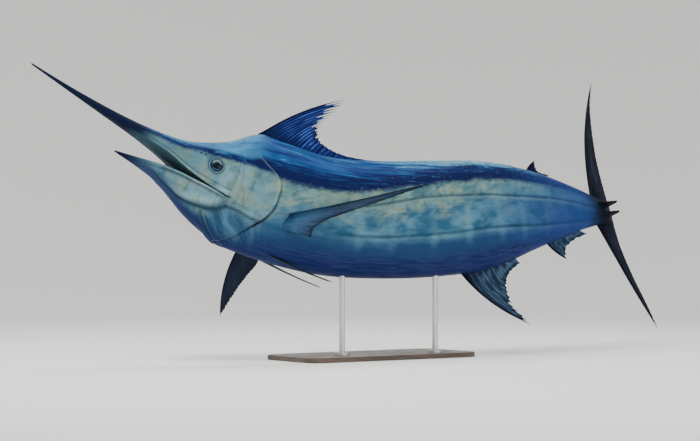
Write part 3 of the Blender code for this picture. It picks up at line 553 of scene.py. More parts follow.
def skin_net(sizes):
    """The whole skin as one closed net: trunk, upper jaw with bill, lower jaw and the pocket of the mouth."""
    net = Net()
    upper, lower, inner = sizes.columns_above, sizes.columns_below, sizes.mouth_columns
    station, step, cover, slit = trunk_grid(sizes)
    side, up = whole_section(station, step)
    trunk = add_skin(net, whole_section, station, step, 0.0, from_lip(side, up, upper), cover, slit)
    net.faces += tube_faces(trunk)
    close_tail(net, trunk[-1], step[-1])

    corner = trunk[0]
    left_lip, right_lip = upper, upper + 2 * lower
    above = (corner[:left_lip + 1], corner[right_lip:])
    below = corner[left_lip:right_lip + 1]
    roof = net.add(CORNER, *palate_row(CORNER, inner), marks=INSIDE)
    floor = net.add(CORNER, *floor_row(CORNER, inner), marks=INSIDE)

    head = half_steps(upper, lower, 1.0)
    bill = BILL_TIP * (1 - np.linspace(0, 1, sizes.bill_rows + 1)[1:] ** 1.2)
    snout = np.linspace(0, CORNER, sizes.snout_rows + 1)[1:-1]
    along = np.concatenate([bill, snout])
    station, step = np.meshgrid(along, head[:upper + 1], indexing="ij")
    side, up = upper_section(station, step)
    centre = (TOP(station) - GAPE(station)) / 2
    left, right = add_skin(net, upper_section, station, step, centre, from_lip(side, up, upper), ends="snout")
    loops = []
    for i, s in enumerate(along):
        lining = net.add(s, *palate_row(s, inner), marks=INSIDE)
        loops.append(np.concatenate([left[i], lining, right[i]]))
    loops.append(np.concatenate([above[0], roof, above[1]]))
    net.faces += tube_faces(loops)
    net.faces += fan_faces(loops[0], net.add(BILL_TIP, 0.0, -0.05)[0])

    along = np.linspace(JAW_TIP, CORNER, sizes.snout_rows + 1)[1:-1]
    station, step = np.meshgrid(along, head[upper:], indexing="ij")
    side, up = jaw_section(station, step)
    centre = -(JAW_LIP(station) + BOTTOM(station)) / 2
    jaw = add_skin(net, jaw_section, station, step, centre, from_lip(side, up, 0), ends="jaw")
    loops = []
    for i, s in enumerate(along):
        lining = net.add(s, *floor_row(s, inner), marks=(0.0, smooth(s, 0.5, 4), 0.0, 0.0, 0.0))
        loops.append(np.concatenate([jaw[i], lining]))
    loops.append(np.concatenate([below, floor]))
    net.faces += tube_faces(loops)
    tip_up = -(JAW_LIP(JAW_TIP) + BOTTOM(JAW_TIP)) / 2
    net.faces += fan_faces(loops[0], net.add(JAW_TIP, 0.0, tip_up)[0])

    make_throat(net, np.concatenate([[corner[left_lip]], roof, [corner[right_lip]], floor]))
    return net


def close_tail(net, ring, step):
    """Rounds the trunk's rear end, inside the root of the tail."""
    full = np.concatenate([step, -step[-2:0:-1]])
    side, up = whole_section(np.full(full.shape, BODY_END), full)
    for share in (0.8, 0.4):
        inner = net.add(BODY_END, side * share, up * share)
        net.faces += ring_faces(ring, inner)
        ring = inner
    net.faces += fan_faces(ring, net.add(BODY_END, 0.0, 0.0)[0])


def make_throat(net, ring):
    """The pocket behind the mouth's corner."""
    places = np.concatenate([part[1] for part in net.parts])[ring]
    middle = np.array([0.0, places[:, 2].mean()])
    for share, behind in ((0.9, 0.5), (0.78, 1.4), (0.6, 2.6), (0.35, 3.6)):
        side = middle[0] + (places[:, 1] - middle[0]) * share
        up = middle[1] + (places[:, 2] - middle[1]) * share
        inner = net.add(CORNER + behind, side, up, marks=INSIDE)
        net.faces += ring_faces(ring, inner)
        ring = inner
    net.faces += fan_faces(ring, net.add(CORNER + 4, *middle, marks=INSIDE)[0])


def tangent_frame(station, out):
    """Columns towards the tail, the back and out, for an outward normal."""
    back = headings(np.array([float(station)]))[2][0]
    back = back - out * (back @ out)
    back /= np.linalg.norm(back)
    return np.stack([np.cross(back, out), back, out], -1)


def skin_spot(station, up, side):
    """The point and frame of a spot on the head's skin."""
    steps = np.linspace(1, 8, 2000)
    heights = upper_section(np.full(steps.shape, float(station)), steps)[1]
    step = np.interp(-up, -heights, steps)
    spot = [np.array([v]) for v in (float(station), side * step, 1.0)]
    out = base_normal(upper_section, *spot)[0]
    across, high = upper_section(spot[0], spot[1])
    return place(spot[0], across, high)[0], tangent_frame(station, out)


class Skin:
    """The skin's points, places, masks and faces, in which round patches can be worked."""

    def __init__(self, net):
        self.points, self.places, self.marks = net.arrays()
        self.faces = [tuple(int(n) for n in face) for face in net.faces]
        self.start = list(self.faces)
        self.tree = BVHTree.FromPolygons([Vector(p) for p in self.points], self.start)
        self.extra = []

    def add(self, point, where, marks):
        self.extra.append((point, where, marks))
        return len(self.points) + len(self.extra) - 1

    def on_skin(self, flat, out):
        """The skin's point under or over a point, with its place and masks."""
        hit, _, index, _ = self.tree.ray_cast(Vector(flat + out * 0.05), Vector(-out))
        near = list(self.start[index])
        weights = np.array(poly_3d_calc([Vector(self.points[n]) for n in near], hit))
        return np.array(hit), weights @ self.places[near], weights @ self.marks[near]

    def inset(self, centre, turn, radii, count, profile):
        """Replaces a round patch by rings; profile is (share of the radii, height, shade) from outside in."""
        local = (self.points - centre) @ turn
        reach = np.hypot(local[:, 0] / radii[0], local[:, 1] / radii[1])
        inner = np.zeros(len(self.points) + len(self.extra), bool)
        inner[:len(self.points)] = (reach < 1) & (np.abs(local[:, 2]) < 0.03)
        gone = [face for face in self.faces if inner[list(face)].any()]
        dropped = set(gone)
        self.faces = [face for face in self.faces if face not in dropped]
        loop = border_loop(gone)
        angles = np.unwrap(np.arctan2(local[loop, 1] / radii[1], local[loop, 0] / radii[0]))
        if angles[-1] < angles[0]:
            loop, angles = loop[::-1], angles[::-1]
        turns = 2 * math.pi * np.arange(count) / count
        rings = []
        for share, height, shade in profile:
            ring = []
            for t in turns:
                flat = centre + turn @ np.array([math.cos(t) * radii[0], math.sin(t) * radii[1], 0.0]) * share
                hit, where, marks = self.on_skin(flat, turn[:, 2])
                ring.append(self.add(hit + turn[:, 2] * height, where, marks + (shade, 0, 0, 0, 0)))
            rings.append(ring)
        self.zip(list(loop), angles, rings[0], turns)
        self.faces += tube_faces(rings)
        hit, where, marks = self.on_skin(centre, turn[:, 2])
        tip = self.add(hit + turn[:, 2] * profile[-1][1], where, marks + (profile[-1][2], 0, 0, 0, 0))
        self.faces += fan_faces(rings[-1], tip)

    def zip(self, outer, angles, ring, turns):
        """Triangles between a hole's border and the first ring, by angle."""
        start = int(np.argmin(np.abs((turns - angles[0] + math.pi) % (2 * math.pi) - math.pi)))
        ring = ring[start:] + ring[:start]
        steps = np.arange(len(ring) + 1) * 2 * math.pi / len(ring)
        marks = np.append(angles - angles[0], 2 * math.pi)
        i = j = 0
        while i < len(outer) or j < len(ring):
            here, there = outer[i % len(outer)], ring[j % len(ring)]
            if j == len(ring) or (i < len(outer) and marks[i + 1] <= steps[j + 1]):
                self.faces.append((int(here), int(outer[(i + 1) % len(outer)]), there))
                i += 1
            else:
                self.faces.append((int(here), ring[(j + 1) % len(ring)], there))
                j += 1

    def finished(self):
        """(points, places, masks, faces) without the points that no face uses."""
        groups = [np.vstack([start, *(item[k] for item in self.extra)])
                  for k, start in enumerate((self.points, self.places, self.marks))]
        used = np.unique(np.concatenate([np.array(face) for face in self.faces]))
        new = np.full(len(groups[0]), -1)
        new[used] = np.arange(len(used))
        faces = [tuple(int(new[n]) for n in face) for face in self.faces]
        return (*(group[used] for group in groups), faces)


def border_loop(faces):
    """The points round a patch of faces, in order."""
    count = {}
    for face in faces:
        for a, b in zip(face, face[1:] + face[:1]):
            key = (min(a, b), max(a, b))
            count[key] = count.get(key, 0) + 1
    links = {}
    for (a, b), times in count.items():
        if times == 1:
            links.setdefault(a, []).append(b)
            links.setdefault(b, []).append(a)
    start = next(iter(links))
    loop, before = [start], None
    while True:
        here = loop[-1]
        onward = next(n for n in links[here] if n != before)
        if onward == start:
            return np.array(loop)
        before = here
        loop.append(onward)


def new_mesh(name, points, faces):
    mesh = bpy.data.meshes.new(name)
    mesh.from_pydata([tuple(p) for p in points], [], [tuple(map(int, face)) for face in faces])
    return mesh


def placed(name, mesh, material):
    """A smooth object of a mesh in one material, in the scene."""
    mesh.shade_smooth()
    mesh.materials.append(material)
    made = bpy.data.objects.new(name, mesh)
    bpy.context.scene.collection.objects.link(made)
    return made


def mesh_object(name, points, faces, attributes, material, nodes):
    """A smooth mesh with float vector attributes, riding on the fish in place of the solids named."""
    mesh = new_mesh(name, points, faces)
    bm = bmesh.new()
    bm.from_mesh(mesh)
    bmesh.ops.recalc_face_normals(bm, faces=bm.faces)
    if bm.calc_volume(signed=True) < 0:
        bmesh.ops.reverse_faces(bm, faces=bm.faces)
    bm.to_mesh(mesh)
    bm.free()
    for key, values in attributes.items():
        layer = mesh.attributes.new(key, "FLOAT_VECTOR", "POINT")
        layer.data.foreach_set("vector", np.asarray(values, np.float32).ravel())
    made = placed(name, mesh, material)
    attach(made, "root")
    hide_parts(*nodes)
    return made


class Graph:
    """Short ways to add nodes to one node tree."""

    def __init__(self, tree):
        self.tree = tree

    def node(self, kind, **values):
        made = self.tree.nodes.new(kind)
        for key, value in values.items():
            setattr(made, key, value)
        return made

    def feed(self, socket, value):
        if isinstance(value, bpy.types.NodeSocket):
            self.tree.links.new(value, socket)
        else:
            socket.default_value = value

    def math(self, operation, *values, clamp=False):
        made = self.node("ShaderNodeMath", operation=operation, use_clamp=clamp)
        for socket, value in zip(made.inputs, values):
            self.feed(socket, value)
        return made.outputs[0]

    def times(self, first, second):
        return self.math("MULTIPLY", first, second)

    def both(self, first, second):
        """The product of two shares."""
        return self.math("MULTIPLY", first, second, clamp=True)

    def plus(self, first, second):
        return self.math("ADD", first, second)

    def minus(self, first, second):
        return self.math("SUBTRACT", first, second)

    def length(self, across, high):
        squares = self.plus(self.math("POWER", across, 2.0), self.math("POWER", high, 2.0))
        return self.math("SQRT", squares)

    def step(self, value, low, high, start=0.0, end=1.0):
        """A soft step between two levels."""
        made = self.node("ShaderNodeMapRange", interpolation_type="SMOOTHSTEP")
        names = ("Value", "From Min", "From Max", "To Min", "To Max")
        for name, item in zip(names, (value, low, high, start, end)):
            self.feed(made.inputs[name], item)
        return made.outputs["Result"]

    def mix(self, share, first, second, blend="MIX"):
        made = self.node("ShaderNodeMix", data_type="RGBA", blend_type=blend)
        for index, item in ((0, share), (6, first), (7, second)):
            self.feed(made.inputs[index], item)
        return made.outputs[2]

    def all_of(self, *steps):
        """The share to which every step is passed, each given as step takes it."""
        share = self.step(*steps[0])
        for more in steps[1:]:
            share = self.both(share, self.step(*more))
        return share

    def layers(self, colour, c, *rows):
        """Lays colours of c over one, each by (name, strength, steps that all have to be passed)."""
        for name, strength, *steps in rows:
            colour = self.mix(self.times(self.all_of(*steps), strength), colour, c[name])
        return colour

    def joined(self, *values):
        made = self.node("ShaderNodeCombineXYZ")
        for socket, value in zip(made.inputs, values):
            self.feed(socket, value)
        return made.outputs[0]

    def stretched(self, vector, factors):
        made = self.node("ShaderNodeVectorMath", operation="MULTIPLY")
        self.feed(made.inputs[0], vector)
        self.feed(made.inputs[1], factors)
        return made.outputs[0]

    def noise(self, vector, scale, detail=3.0, roughness=0.5, distortion=0.0):
        made = self.node("ShaderNodeTexNoise")
        self.dress(made, vector=vector, scale=scale, detail=detail, roughness=roughness,
                   distortion=distortion)
        return made.outputs["Fac"]

    def cells(self, vector, scale, feature="F1", randomness=1.0):
        made = self.node("ShaderNodeTexVoronoi", feature=feature)
        self.dress(made, vector=vector, scale=scale, randomness=randomness)
        return made.outputs["Distance"]

    def parts(self, vector):
        made = self.node("ShaderNodeSeparateXYZ")
        self.feed(made.inputs[0], vector)
        return made.outputs

    def attribute(self, name):
        return self.node("ShaderNodeAttribute", attribute_name=name).outputs["Vector"]

    def bump(self, height, strength, distance):
        made = self.node("ShaderNodeBump")
        self.dress(made, height=height, strength=strength, distance=distance)
        return made.outputs[0]

    def dress(self, node, **values):
        """Feeds inputs of a node, named with underscores for spaces."""
        for key, value in values.items():
            self.feed(node.inputs[key.replace("_", " ").title()], value)


def new_material(name, roughness, specular=0.5, coat=0.0, coat_roughness=0.1, metallic=0.0):
    """A material with an empty graph, and its shader."""
    made = bpy.data.materials.new(name)
    made.use_nodes = True
    made.node_tree.nodes.clear()
    graph = Graph(made.node_tree)
    shader = graph.node("ShaderNodeBsdfPrincipled")
    output = graph.node("ShaderNodeOutputMaterial")
    graph.feed(output.inputs["Surface"], shader.outputs[0])
    graph.feed(shader.inputs["Specular IOR Level"], specular)
    graph.dress(shader, roughness=roughness, metallic=metallic, coat_weight=coat,
                coat_roughness=coat_roughness)
    return made, graph, shader


def new_group(name, inputs, outputs):
    """A shader node group with its graph and its input and output nodes."""
    group = bpy.data.node_groups.new(name, "ShaderNodeTree")
    for label, kind, value in inputs:
        socket = group.interface.new_socket(label, in_out="INPUT", socket_type=kind)
        if value is not None:
            socket.default_value = value
    for label, kind in outputs:
        group.interface.new_socket(label, in_out="OUTPUT", socket_type=kind)
    graph = Graph(group)
    return group, graph, graph.node("NodeGroupInput").outputs, graph.node("NodeGroupOutput").inputs


def use_group(graph, group, **values):
    """Places a group in a material and feeds its inputs, named with spaces for underscores."""
    node = graph.node("ShaderNodeGroup", node_tree=group)
    for key, value in values.items():
        graph.feed(node.inputs[key.replace("_", " ").capitalize()], value)
    return node.outputs


COLOUR, NUMBER, VECTOR = "NodeSocketColor", "NodeSocketFloat", "NodeSocketVector"


def scales_group():
    """Narrow bony scales lying along the body, with fine mottling."""
    group, g, given, put = new_group(
        "Marlin scales", (("Place", VECTOR, None), ("Density", NUMBER, 1.0), ("Depth", NUMBER, 1.0)),
        (("Height", NUMBER), ("Glint", NUMBER), ("Mottle", NUMBER)))
    dense = g.node("ShaderNodeVectorMath", operation="SCALE")
    g.feed(dense.inputs[0], g.stretched(given["Place"], (0.32, 1.0, 1.0)))
    g.feed(dense.inputs["Scale"], given["Density"])
    near = g.cells(dense.outputs[0], 4.2)
    edge = g.cells(dense.outputs[0], 4.2, "DISTANCE_TO_EDGE")
    grain = g.noise(dense.outputs[0], 14.0, 3.0, 0.6)
    plate = g.step(edge, 0.0, 0.16)
    height = g.plus(g.times(plate, 0.6), g.times(grain, 0.4))
    g.feed(put["Height"], g.times(height, given["Depth"]))
    g.feed(put["Glint"], g.step(near, 0.35, 0.05))
    g.feed(put["Mottle"], g.noise(given["Place"], 0.9, 4.0, 0.6, 0.4))
    return group


def rays_group():
    """Fin rays over a membrane, with painted highlights along the rays, a dark root, a dark leading edge and
    a worn rear edge.
    """
    colours = [(f"{part} colour", COLOUR, None) for part in ("Ray", "Web", "Patch", "Base", "Edge")]
    group, g, given, put = new_group(
        "Fin rays", (("Fin", VECTOR, None), ("Place", VECTOR, None), ("Rays", NUMBER, 20.0), *colours),
        (("Colour", COLOUR), ("Roughness", NUMBER), ("Height", NUMBER)))
    ridge, along, share = g.parts(given["Fin"])
    rays = given["Rays"]
    cloud = g.noise(given["Place"], 0.5, 4, 0.6, 0.6)
    streak = g.noise(g.joined(g.times(share, g.times(rays, 6)), g.times(along, 5)), 1, 3, 0.6)
    patch = g.noise(g.joined(g.times(share, g.times(rays, 0.9)), g.times(along, 2.6)), 1, 2, 0.5)
    web = g.mix(g.step(patch, 0.42, 0.66), given["Web colour"], given["Patch colour"])
    web = g.mix(g.times(g.step(cloud, 0.5, 0.72), 0.5), web, given["Web colour"])
    # Painted highlights: the rays show palest in patches over the fin's front, away from the root
    bright = g.both(g.step(patch, 0.44, 0.6), g.all_of((along, 0.18, 0.5), (share, 0.95, 0.45)))
    on_ray = g.all_of((ridge, 0.35, 0.9), (streak, 0.3, 0.6, 0.4, 1))
    on_ray = g.both(on_ray, g.plus(g.times(bright, 0.8), 0.2))
    colour = g.mix(on_ray, web, given["Ray colour"])
    root = g.step(g.plus(along, g.times(cloud, 0.35)), 0.52, 0.2)
    colour = g.mix(g.times(root, 0.85), colour, given["Base colour"])
    rim = g.step(g.plus(along, g.times(streak, 0.14)), 0.9, 1.06)
    lead = g.step(g.times(share, rays), 1.5, 0.3)
    dark = g.math("MAXIMUM", g.times(rim, 0.75), g.times(lead, 0.9))
    g.feed(put["Colour"], g.mix(dark, colour, given["Edge colour"]))
    g.feed(put["Roughness"], g.step(streak, 0.2, 0.8, 0.4, 0.6))
    segments = g.cells(g.joined(g.times(share, rays), g.times(along, 90)), 1, randomness=0.7)
    g.feed(put["Height"], g.plus(g.times(streak, 0.6), g.times(segments, 0.4)))
    return group


def wear_group():
    """Fine scratches and dust for the stand."""
    group, g, given, put = new_group(
        "Stand wear", (("Position", VECTOR, None), ("Grain", VECTOR, (1.0, 1.0, 1.0))),
        (("Scratch", NUMBER), ("Dust", NUMBER)))
    g.feed(put["Scratch"], g.noise(g.stretched(given["Position"], given["Grain"]), 60.0, 5.0, 0.7))
    g.feed(put["Dust"], g.noise(given["Position"], 9.0, 4.0, 0.65))
    return group


def group_named(name, maker):
    """A node group, made the first time that it is asked for."""
    return bpy.data.node_groups.get(name) or maker()


def skin_material(c):
    """Cobalt back, dark band, pale flank with bars, slate belly darkened partly as painted shade, and the
    head's markings.
    """
    made, g, shader = new_material("Marlin skin", 0.42, specular=0.012, coat=0.015, coat_roughness=0.2)
    where = g.attribute("place")
    m = Marks(g, where)
    scales = use_group(g, group_named("Marlin scales", scales_group), place=where, density=1, depth=1)
    colour = g.mix(m.is_back, trunk_flank(g, m, c), trunk_back(g, m, c))
    colour = g.layers(head_colours(g, m, colour, c), c,
                      ("tail", 0.75, (g.plus(m.station, g.times(m.cloud, 10)), 72, 99)),
                      ("edge", 0.95, (g.plus(m.station, g.times(m.cloud, 5)), 92.5, 99.5)))
    # Painted glints along the lower edge of the back
    colour = g.mix(sparkles(g, m), colour, c["sparkle"])
    broken = g.step(m.dabs, 0.3, 0.55, 0.55, 1)
    # Painted highlights, brown lines, painted shade in the folds and painted shade in the gill slit
    for name, strength, share in (("glint", 0.8, g.times(m.light, broken)),
                                  ("brown", 0.75, g.times(m.brown, broken)),
                                  ("fold", 0.85, m.shade), ("slit", 0.95, m.slit)):
        colour = g.mix(g.both(share, strength), colour, c[name])
    teeth = g.step(g.cells(g.stretched(where, (1, 1.3, 1.3)), 7), 0.45, 0.1)
    inner = g.mix(g.times(g.step(scales["Mottle"], 0.3, 0.7), teeth), c["mouth"], c["mouth_light"])
    inner = g.mix(g.step(m.station, 3, -1), inner, c["bill"])
    height = g.times(scales["Height"], g.step(m.station, 14, 30, 0.35, 1))
    height = g.plus(height, g.times(m.fine_long, 0.6))
    g.dress(shader, base_color=g.mix(m.inside, colour, inner), normal=g.bump(height, 0.4, 0.0014),
            roughness=g.step(scales["Mottle"], 0.25, 0.8, 0.36, 0.55))
    return made


class Marks:
    """The skin's attributes and the noises that its markings share."""

    def __init__(self, g, where):
        self.station, self.side, self.up = g.parts(where)
        self.from_back, self.from_band, self.from_belly = g.parts(g.attribute("band"))
        self.from_upper, self.from_lower, self.from_bar = g.parts(g.attribute("lines"))
        self.shade, self.inside, self.slit = g.parts(g.attribute("marks"))
        self.light, self.brown, self.pleat = g.parts(g.attribute("highlight_brown_pleat"))
        self.throat, self.crest, self.around = g.parts(g.attribute("around"))
        noises = (
            ("blots", (0.24, 0.55, 0.34), 2.5, 0.5, 0.7), ("long", (0.09, 0.8, 0.8), 4, 0.6, 0.6),
            ("fine_long", (0.25, 3.2, 3.2), 4, 0.62, 0.2), ("strokes", (0.13, 1.7, 1.7), 5, 0.6, 0.7),
            ("cloud", (0.2, 0.4, 0.4), 3, 0.55, 0.3), ("upright", (0.85, 0.35, 0.22), 3.5, 0.55, 1),
            ("dabs", (0.9, 1.5, 1.5), 4, 0.6, 1),
        )
        for name, stretch, *form in noises:
            setattr(self, name, g.noise(g.stretched(where, stretch), 1, *form))
        lean = g.joined(g.minus(g.times(self.station, 0.42), g.times(self.up, 0.55)),
                        g.plus(g.times(self.station, 0.1), g.times(self.up, 0.3)),
                        g.times(self.side, 0.3))
        self.leaning = g.noise(lean, 1, 5, 0.62, 0.5)
        self.wander = g.times(g.minus(self.long, 0.5), 2.4)
        self.ragged = g.plus(g.times(self.wander, 0.3), g.minus(self.dabs, 0.5))
        self.is_back = g.step(g.plus(self.from_back, self.ragged), -0.6, 0.7)


def trunk_back(g, m, c):
    """The back: pale streaks at the crest, partly painted highlight, cobalt, painted glints, and the darkest
    indigo over its lower edge.
    """
    colour = g.mix(g.step(m.strokes, 0.38, 0.58), c["back"], c["back_light"])
    # The crest's pale streaks, partly painted highlight: how strongly they show, by station
    gain = g.plus(g.step(m.station, 38, 58, 0.13, 0.58), g.step(m.station, 24, 17, 0, 0.2))
    lit = g.plus(g.times(m.crest, gain), m.strokes)
    strayed = g.plus(g.times(m.wander, 0.7), g.times(m.strokes, 5))
    deep = g.plus(m.from_band, g.plus(strayed, g.times(m.upright, 1.2)))
    return g.layers(
        colour, c, ("crest", 0.9, (lit, 0.58, 0.76)),
        ("band", 0.7, (m.long, 0.47, 0.36), (m.crest, 0.9, 0.3)),
        # Painted glints over the crest's streaks, with more of them towards the rear
        ("glint", 0.4, (m.dabs, 0.5, 0.62), (lit, 0.64, 0.8)),
        ("glint", 0.5, (m.station, 52, 64), (m.station, 86, 76), (m.crest, 0.3, 0.9),
         (m.strokes, 0.36, 0.56, 0.35, 1)),
        ("band", 0.95, (deep, 4.9, 2.3)),
        ("crest", 0.55, (m.fine_long, 0.56, 0.7), (m.dabs, 0.44, 0.6), (m.station, 36, 46)))


def trunk_flank(g, m, c):
    """The flank: cream and gold above, teal between the two lines, blue below and slate at the belly, both
    darkened partly as painted shade.
    """
    pale = g.layers(
        g.mix(g.step(m.leaning, 0.36, 0.64), c["flank"], c["flank_light"]), c,
        ("gold", 0.6, (m.blots, 0.46, 0.62), (m.leaning, 0.4, 0.58)),
        ("middle", 0.35, (m.upright, 0.5, 0.7)))
    depth = g.plus(m.from_lower, g.times(g.minus(m.leaning, 0.5), 7))
    fading = g.step(m.station, 44, 78, 0, 3.6)
    middle = g.mix(g.step(m.cloud, 0.36, 0.66), c["middle"], c["middle_light"])
    low = g.plus(m.from_lower, g.times(m.wander, 0.9))
    # Blue below the lower line, darkened partly as painted shade
    colour = g.layers(
        g.mix(g.step(g.minus(depth, fading), 5.6, 1.6), pale, middle), c,
        ("flank_light", 0.5, (m.blots, 0.52, 0.68), (m.from_lower, 0.4, 2)),
        ("middle_light", 0.15, (m.from_lower, -0.1, -0.6), (m.from_lower, -2.6, -0.9)),
        ("lower", 0.35, (m.fine_long, 0.5, 0.7)), ("lower", 0.92, (low, 0.1, -2)),
        ("lower", 0.7, (m.station, 40, 27), (low, 1.6, -0.6)))
    colour = g.mix(g.times(flank_bars(g, m), 0.34), colour, c["bar"])
    far = g.plus(m.station, g.times(g.minus(m.cloud, 0.5), 24))
    colour = g.layers(colour, c, ("tail", 0.72, (far, 58, 86), (m.from_upper, 0.3, -1.8)))
    # Slate at the belly: its own slate, darkened partly as painted shade
    slate = g.mix(g.step(m.fine_long, 0.35, 0.68), c["belly"], c["belly_light"])
    belly = g.plus(m.from_belly, g.times(m.wander, 0.8))
    colour = g.mix(g.step(belly, 1.6, -1.1), colour, slate)
    on = g.step(m.station, 33, 43)
    # Painted highlight beside each of the two lines and painted shade in its crease
    for distance, light in ((m.from_upper, 0.35), (m.from_lower, 0.12)):
        waver = g.plus(distance, g.times(g.minus(m.fine_long, 0.5), 0.25))
        lit = g.times(g.all_of((waver, -0.15, -0.32), (waver, -0.95, -0.45)), on)
        dark = g.times(g.step(g.math("ABSOLUTE", waver), 0.46, 0.02), on)
        colour = g.mix(g.times(lit, light), colour, c["flank_light"])
        colour = g.mix(g.times(dark, 0.6), colour, c["fold"])
    return colour


def flank_bars(g, m):
    """Soft broken upright bars."""
    core = g.step(g.plus(m.from_bar, g.times(g.minus(m.dabs, 0.5), 1.1)), 1.25, -0.1)
    ends = g.all_of((m.from_lower, -3.2, -0.2), (m.from_upper, 0.2, -1.6))
    return g.both(g.times(core, ends), g.step(m.cloud, 0.3, 0.55, 0.45, 1))


def sparkles(g, m):
    """Small bright flecks along the lower edge of the back: painted glints."""
    near = g.cells(g.joined(g.times(m.station, 0.8), m.up, g.times(m.side, 0.9)), 1)
    dot = g.step(g.plus(near, g.times(m.dabs, 0.3)), 0.24, 0.12)
    zone = g.all_of((m.from_back, -1, 0.2), (m.from_back, 3.4, 1.4), (m.station, 30, 40), (m.station, 86, 74))
    return g.both(g.times(dot, zone), 0.75)


def head_colours(g, m, colour, c):
    """The head's colours over the trunk's: forehead with painted highlights, dark stripe, cheek with painted
    shade ahead of the eye, jaw and throat darker towards the keel partly as painted shade, and the bill with
    a painted sheen on top.
    """
    # The cheek's pattern, darker ahead of the eye as painted shade
    cheek = g.layers(
        g.mix(g.step(m.cloud, 0.34, 0.6), c["cheek"], c["cheek_light"]), c,
        ("gold", 0.55, (m.blots, 0.47, 0.63)), ("middle_light", 0.5, (m.upright, 0.46, 0.62)),
        ("cheek", 0.6, (m.upright, 0.48, 0.36)), ("gold", 0.18, (m.dabs, 0.52, 0.68)),
        ("cheek", 0.55, (m.station, 15.5, 11), (m.up, -3, -1.2)))
    pleat = g.noise(g.joined(g.times(m.pleat, 1.3), g.times(m.station, 0.22)), 1, 4, 0.6, 0.2)
    # The throat's pleats; below the folds the jaw and throat turn slate towards the keel, partly painted
    # shade
    under = g.layers(c["throat"], c, ("middle_light", 0.7, (pleat, 0.38, 0.72)),
                     ("belly", 0.85, (m.around, 0.76, 0.92)))
    face = g.layers(
        g.mix(m.throat, cheek, under), c, ("throat", 0.85, (m.station, 7, 0.5), (m.up, -2.5, -3.2)),
        ("belly_light", 0.8, (m.station, 16, 11), (m.around, 0.72, 0.86)))
    head = g.times(g.step(m.station, 26.5, 20.5), g.minus(1, m.is_back))
    colour = g.mix(head, colour, face)
    # Painted highlights along the top of the forehead
    lit = g.plus(g.times(m.crest, 0.7), g.times(m.fine_long, 0.6))
    forehead = g.layers(g.mix(g.step(m.long, 0.3, 0.7), c["forehead"], c["crest"]), c,
                        ("glint", 0.35, (lit, 0.6, 1.1)))
    above = g.plus(m.from_band, g.times(m.ragged, 0.45))
    colour = g.mix(g.all_of((m.station, 24.5, 18), (above, -0.35, 0.7)), colour, forehead)
    # The bill: near-black, with a painted sheen on its top
    bill = g.step(g.plus(m.station, g.times(g.minus(m.long, 0.5), 3)), 6.5, 0.5)
    return g.mix(bill, colour, g.mix(g.step(m.crest, 0.35, 1), c["bill"], c["bill_top"]))


def crest_share(step):
    """1 at the crest falling to 0 some way down each side."""
    return 1 - smooth(np.abs(step), 0.3, 4.2)


def fin_material(name, c, rays, base, ray, web, patch, edge):
    """A fin's finish in its own colours and painted shade where it faces down, blended into the skin's at the
    root of a broad fin.
    """
    made, g, shader = new_material(name, 0.45, specular=0.02, coat=0.04, coat_roughness=0.25)
    where = g.attribute("place")
    out = use_group(g, group_named("Fin rays", rays_group), fin=g.attribute("fin"), place=where,
                    rays=rays, ray_colour=c[ray], web_colour=c[web], patch_colour=c[patch],
                    base_colour=c[base], edge_colour=c[edge])
    under, depth, merging = g.parts(g.attribute("sheet"))
    # Painted shade: faces that look down turn towards a near-black colour
    colour = g.mix(g.times(under, 0.8), out["Colour"], c["underside"])
    waver = g.times(g.noise(where, 1.6, 3, 0.6), 0.6)
    merged = g.step(g.plus(depth, waver), 2.4, 0.8)
    cloud = g.noise(g.stretched(where, (0.2, 0.4, 0.4)), 1, 3, 0.55, 0.3)
    flesh = g.mix(g.step(cloud, 0.36, 0.66), c["middle"], c["middle_light"])
    colour = g.mix(g.times(merged, merging), colour, g.mix(0.72, flesh, c["lower"]))
    g.dress(shader, base_color=colour, roughness=out["Roughness"], normal=g.bump(out["Height"], 0.3, 0.0008))
    return made


def eye_material(c):
    """A dark low pupil in a blue iris, with a pale arc above as a painted highlight and a dark ring round it.
    """
    made, g, shader = new_material("Marlin eye", 0.3, specular=0.03, coat=0.14, coat_roughness=0.03)
    across, high, _ = g.parts(g.attribute("iris"))
    radius = g.length(across, high)
    pupil_radius = g.length(g.times(across, 0.92), g.times(g.plus(high, 0.1), 1.2))
    spokes = g.joined(g.times(g.math("ARCTAN2", high, across), 7), g.times(radius, 3))
    streak = g.noise(spokes, 1, 3, 0.6)
    cloud = g.noise(g.attribute("iris"), 2.4, 3, 0.6)
    iris = g.mix(g.all_of((high, -0.45, -0.7), (streak, 0.25, 0.6)), c["iris"], c["iris_light"])
    # Painted highlight: the pale arc over the top of the iris
    crescent = g.step(g.plus(high, g.times(cloud, 0.12)), 0.26, 0.46)
    iris = g.mix(crescent, iris, g.mix(g.step(streak, 0.3, 0.7), c["crescent"], c["iris_light"]))
    colour = g.mix(g.step(pupil_radius, 0.66, 0.56), iris, c["pupil"])
    colour = g.mix(g.step(radius, 0.84, 0.93), colour, c["pupil"])
    g.dress(shader, base_color=colour, normal=g.bump(streak, 0.06, 0.0005))
    return made


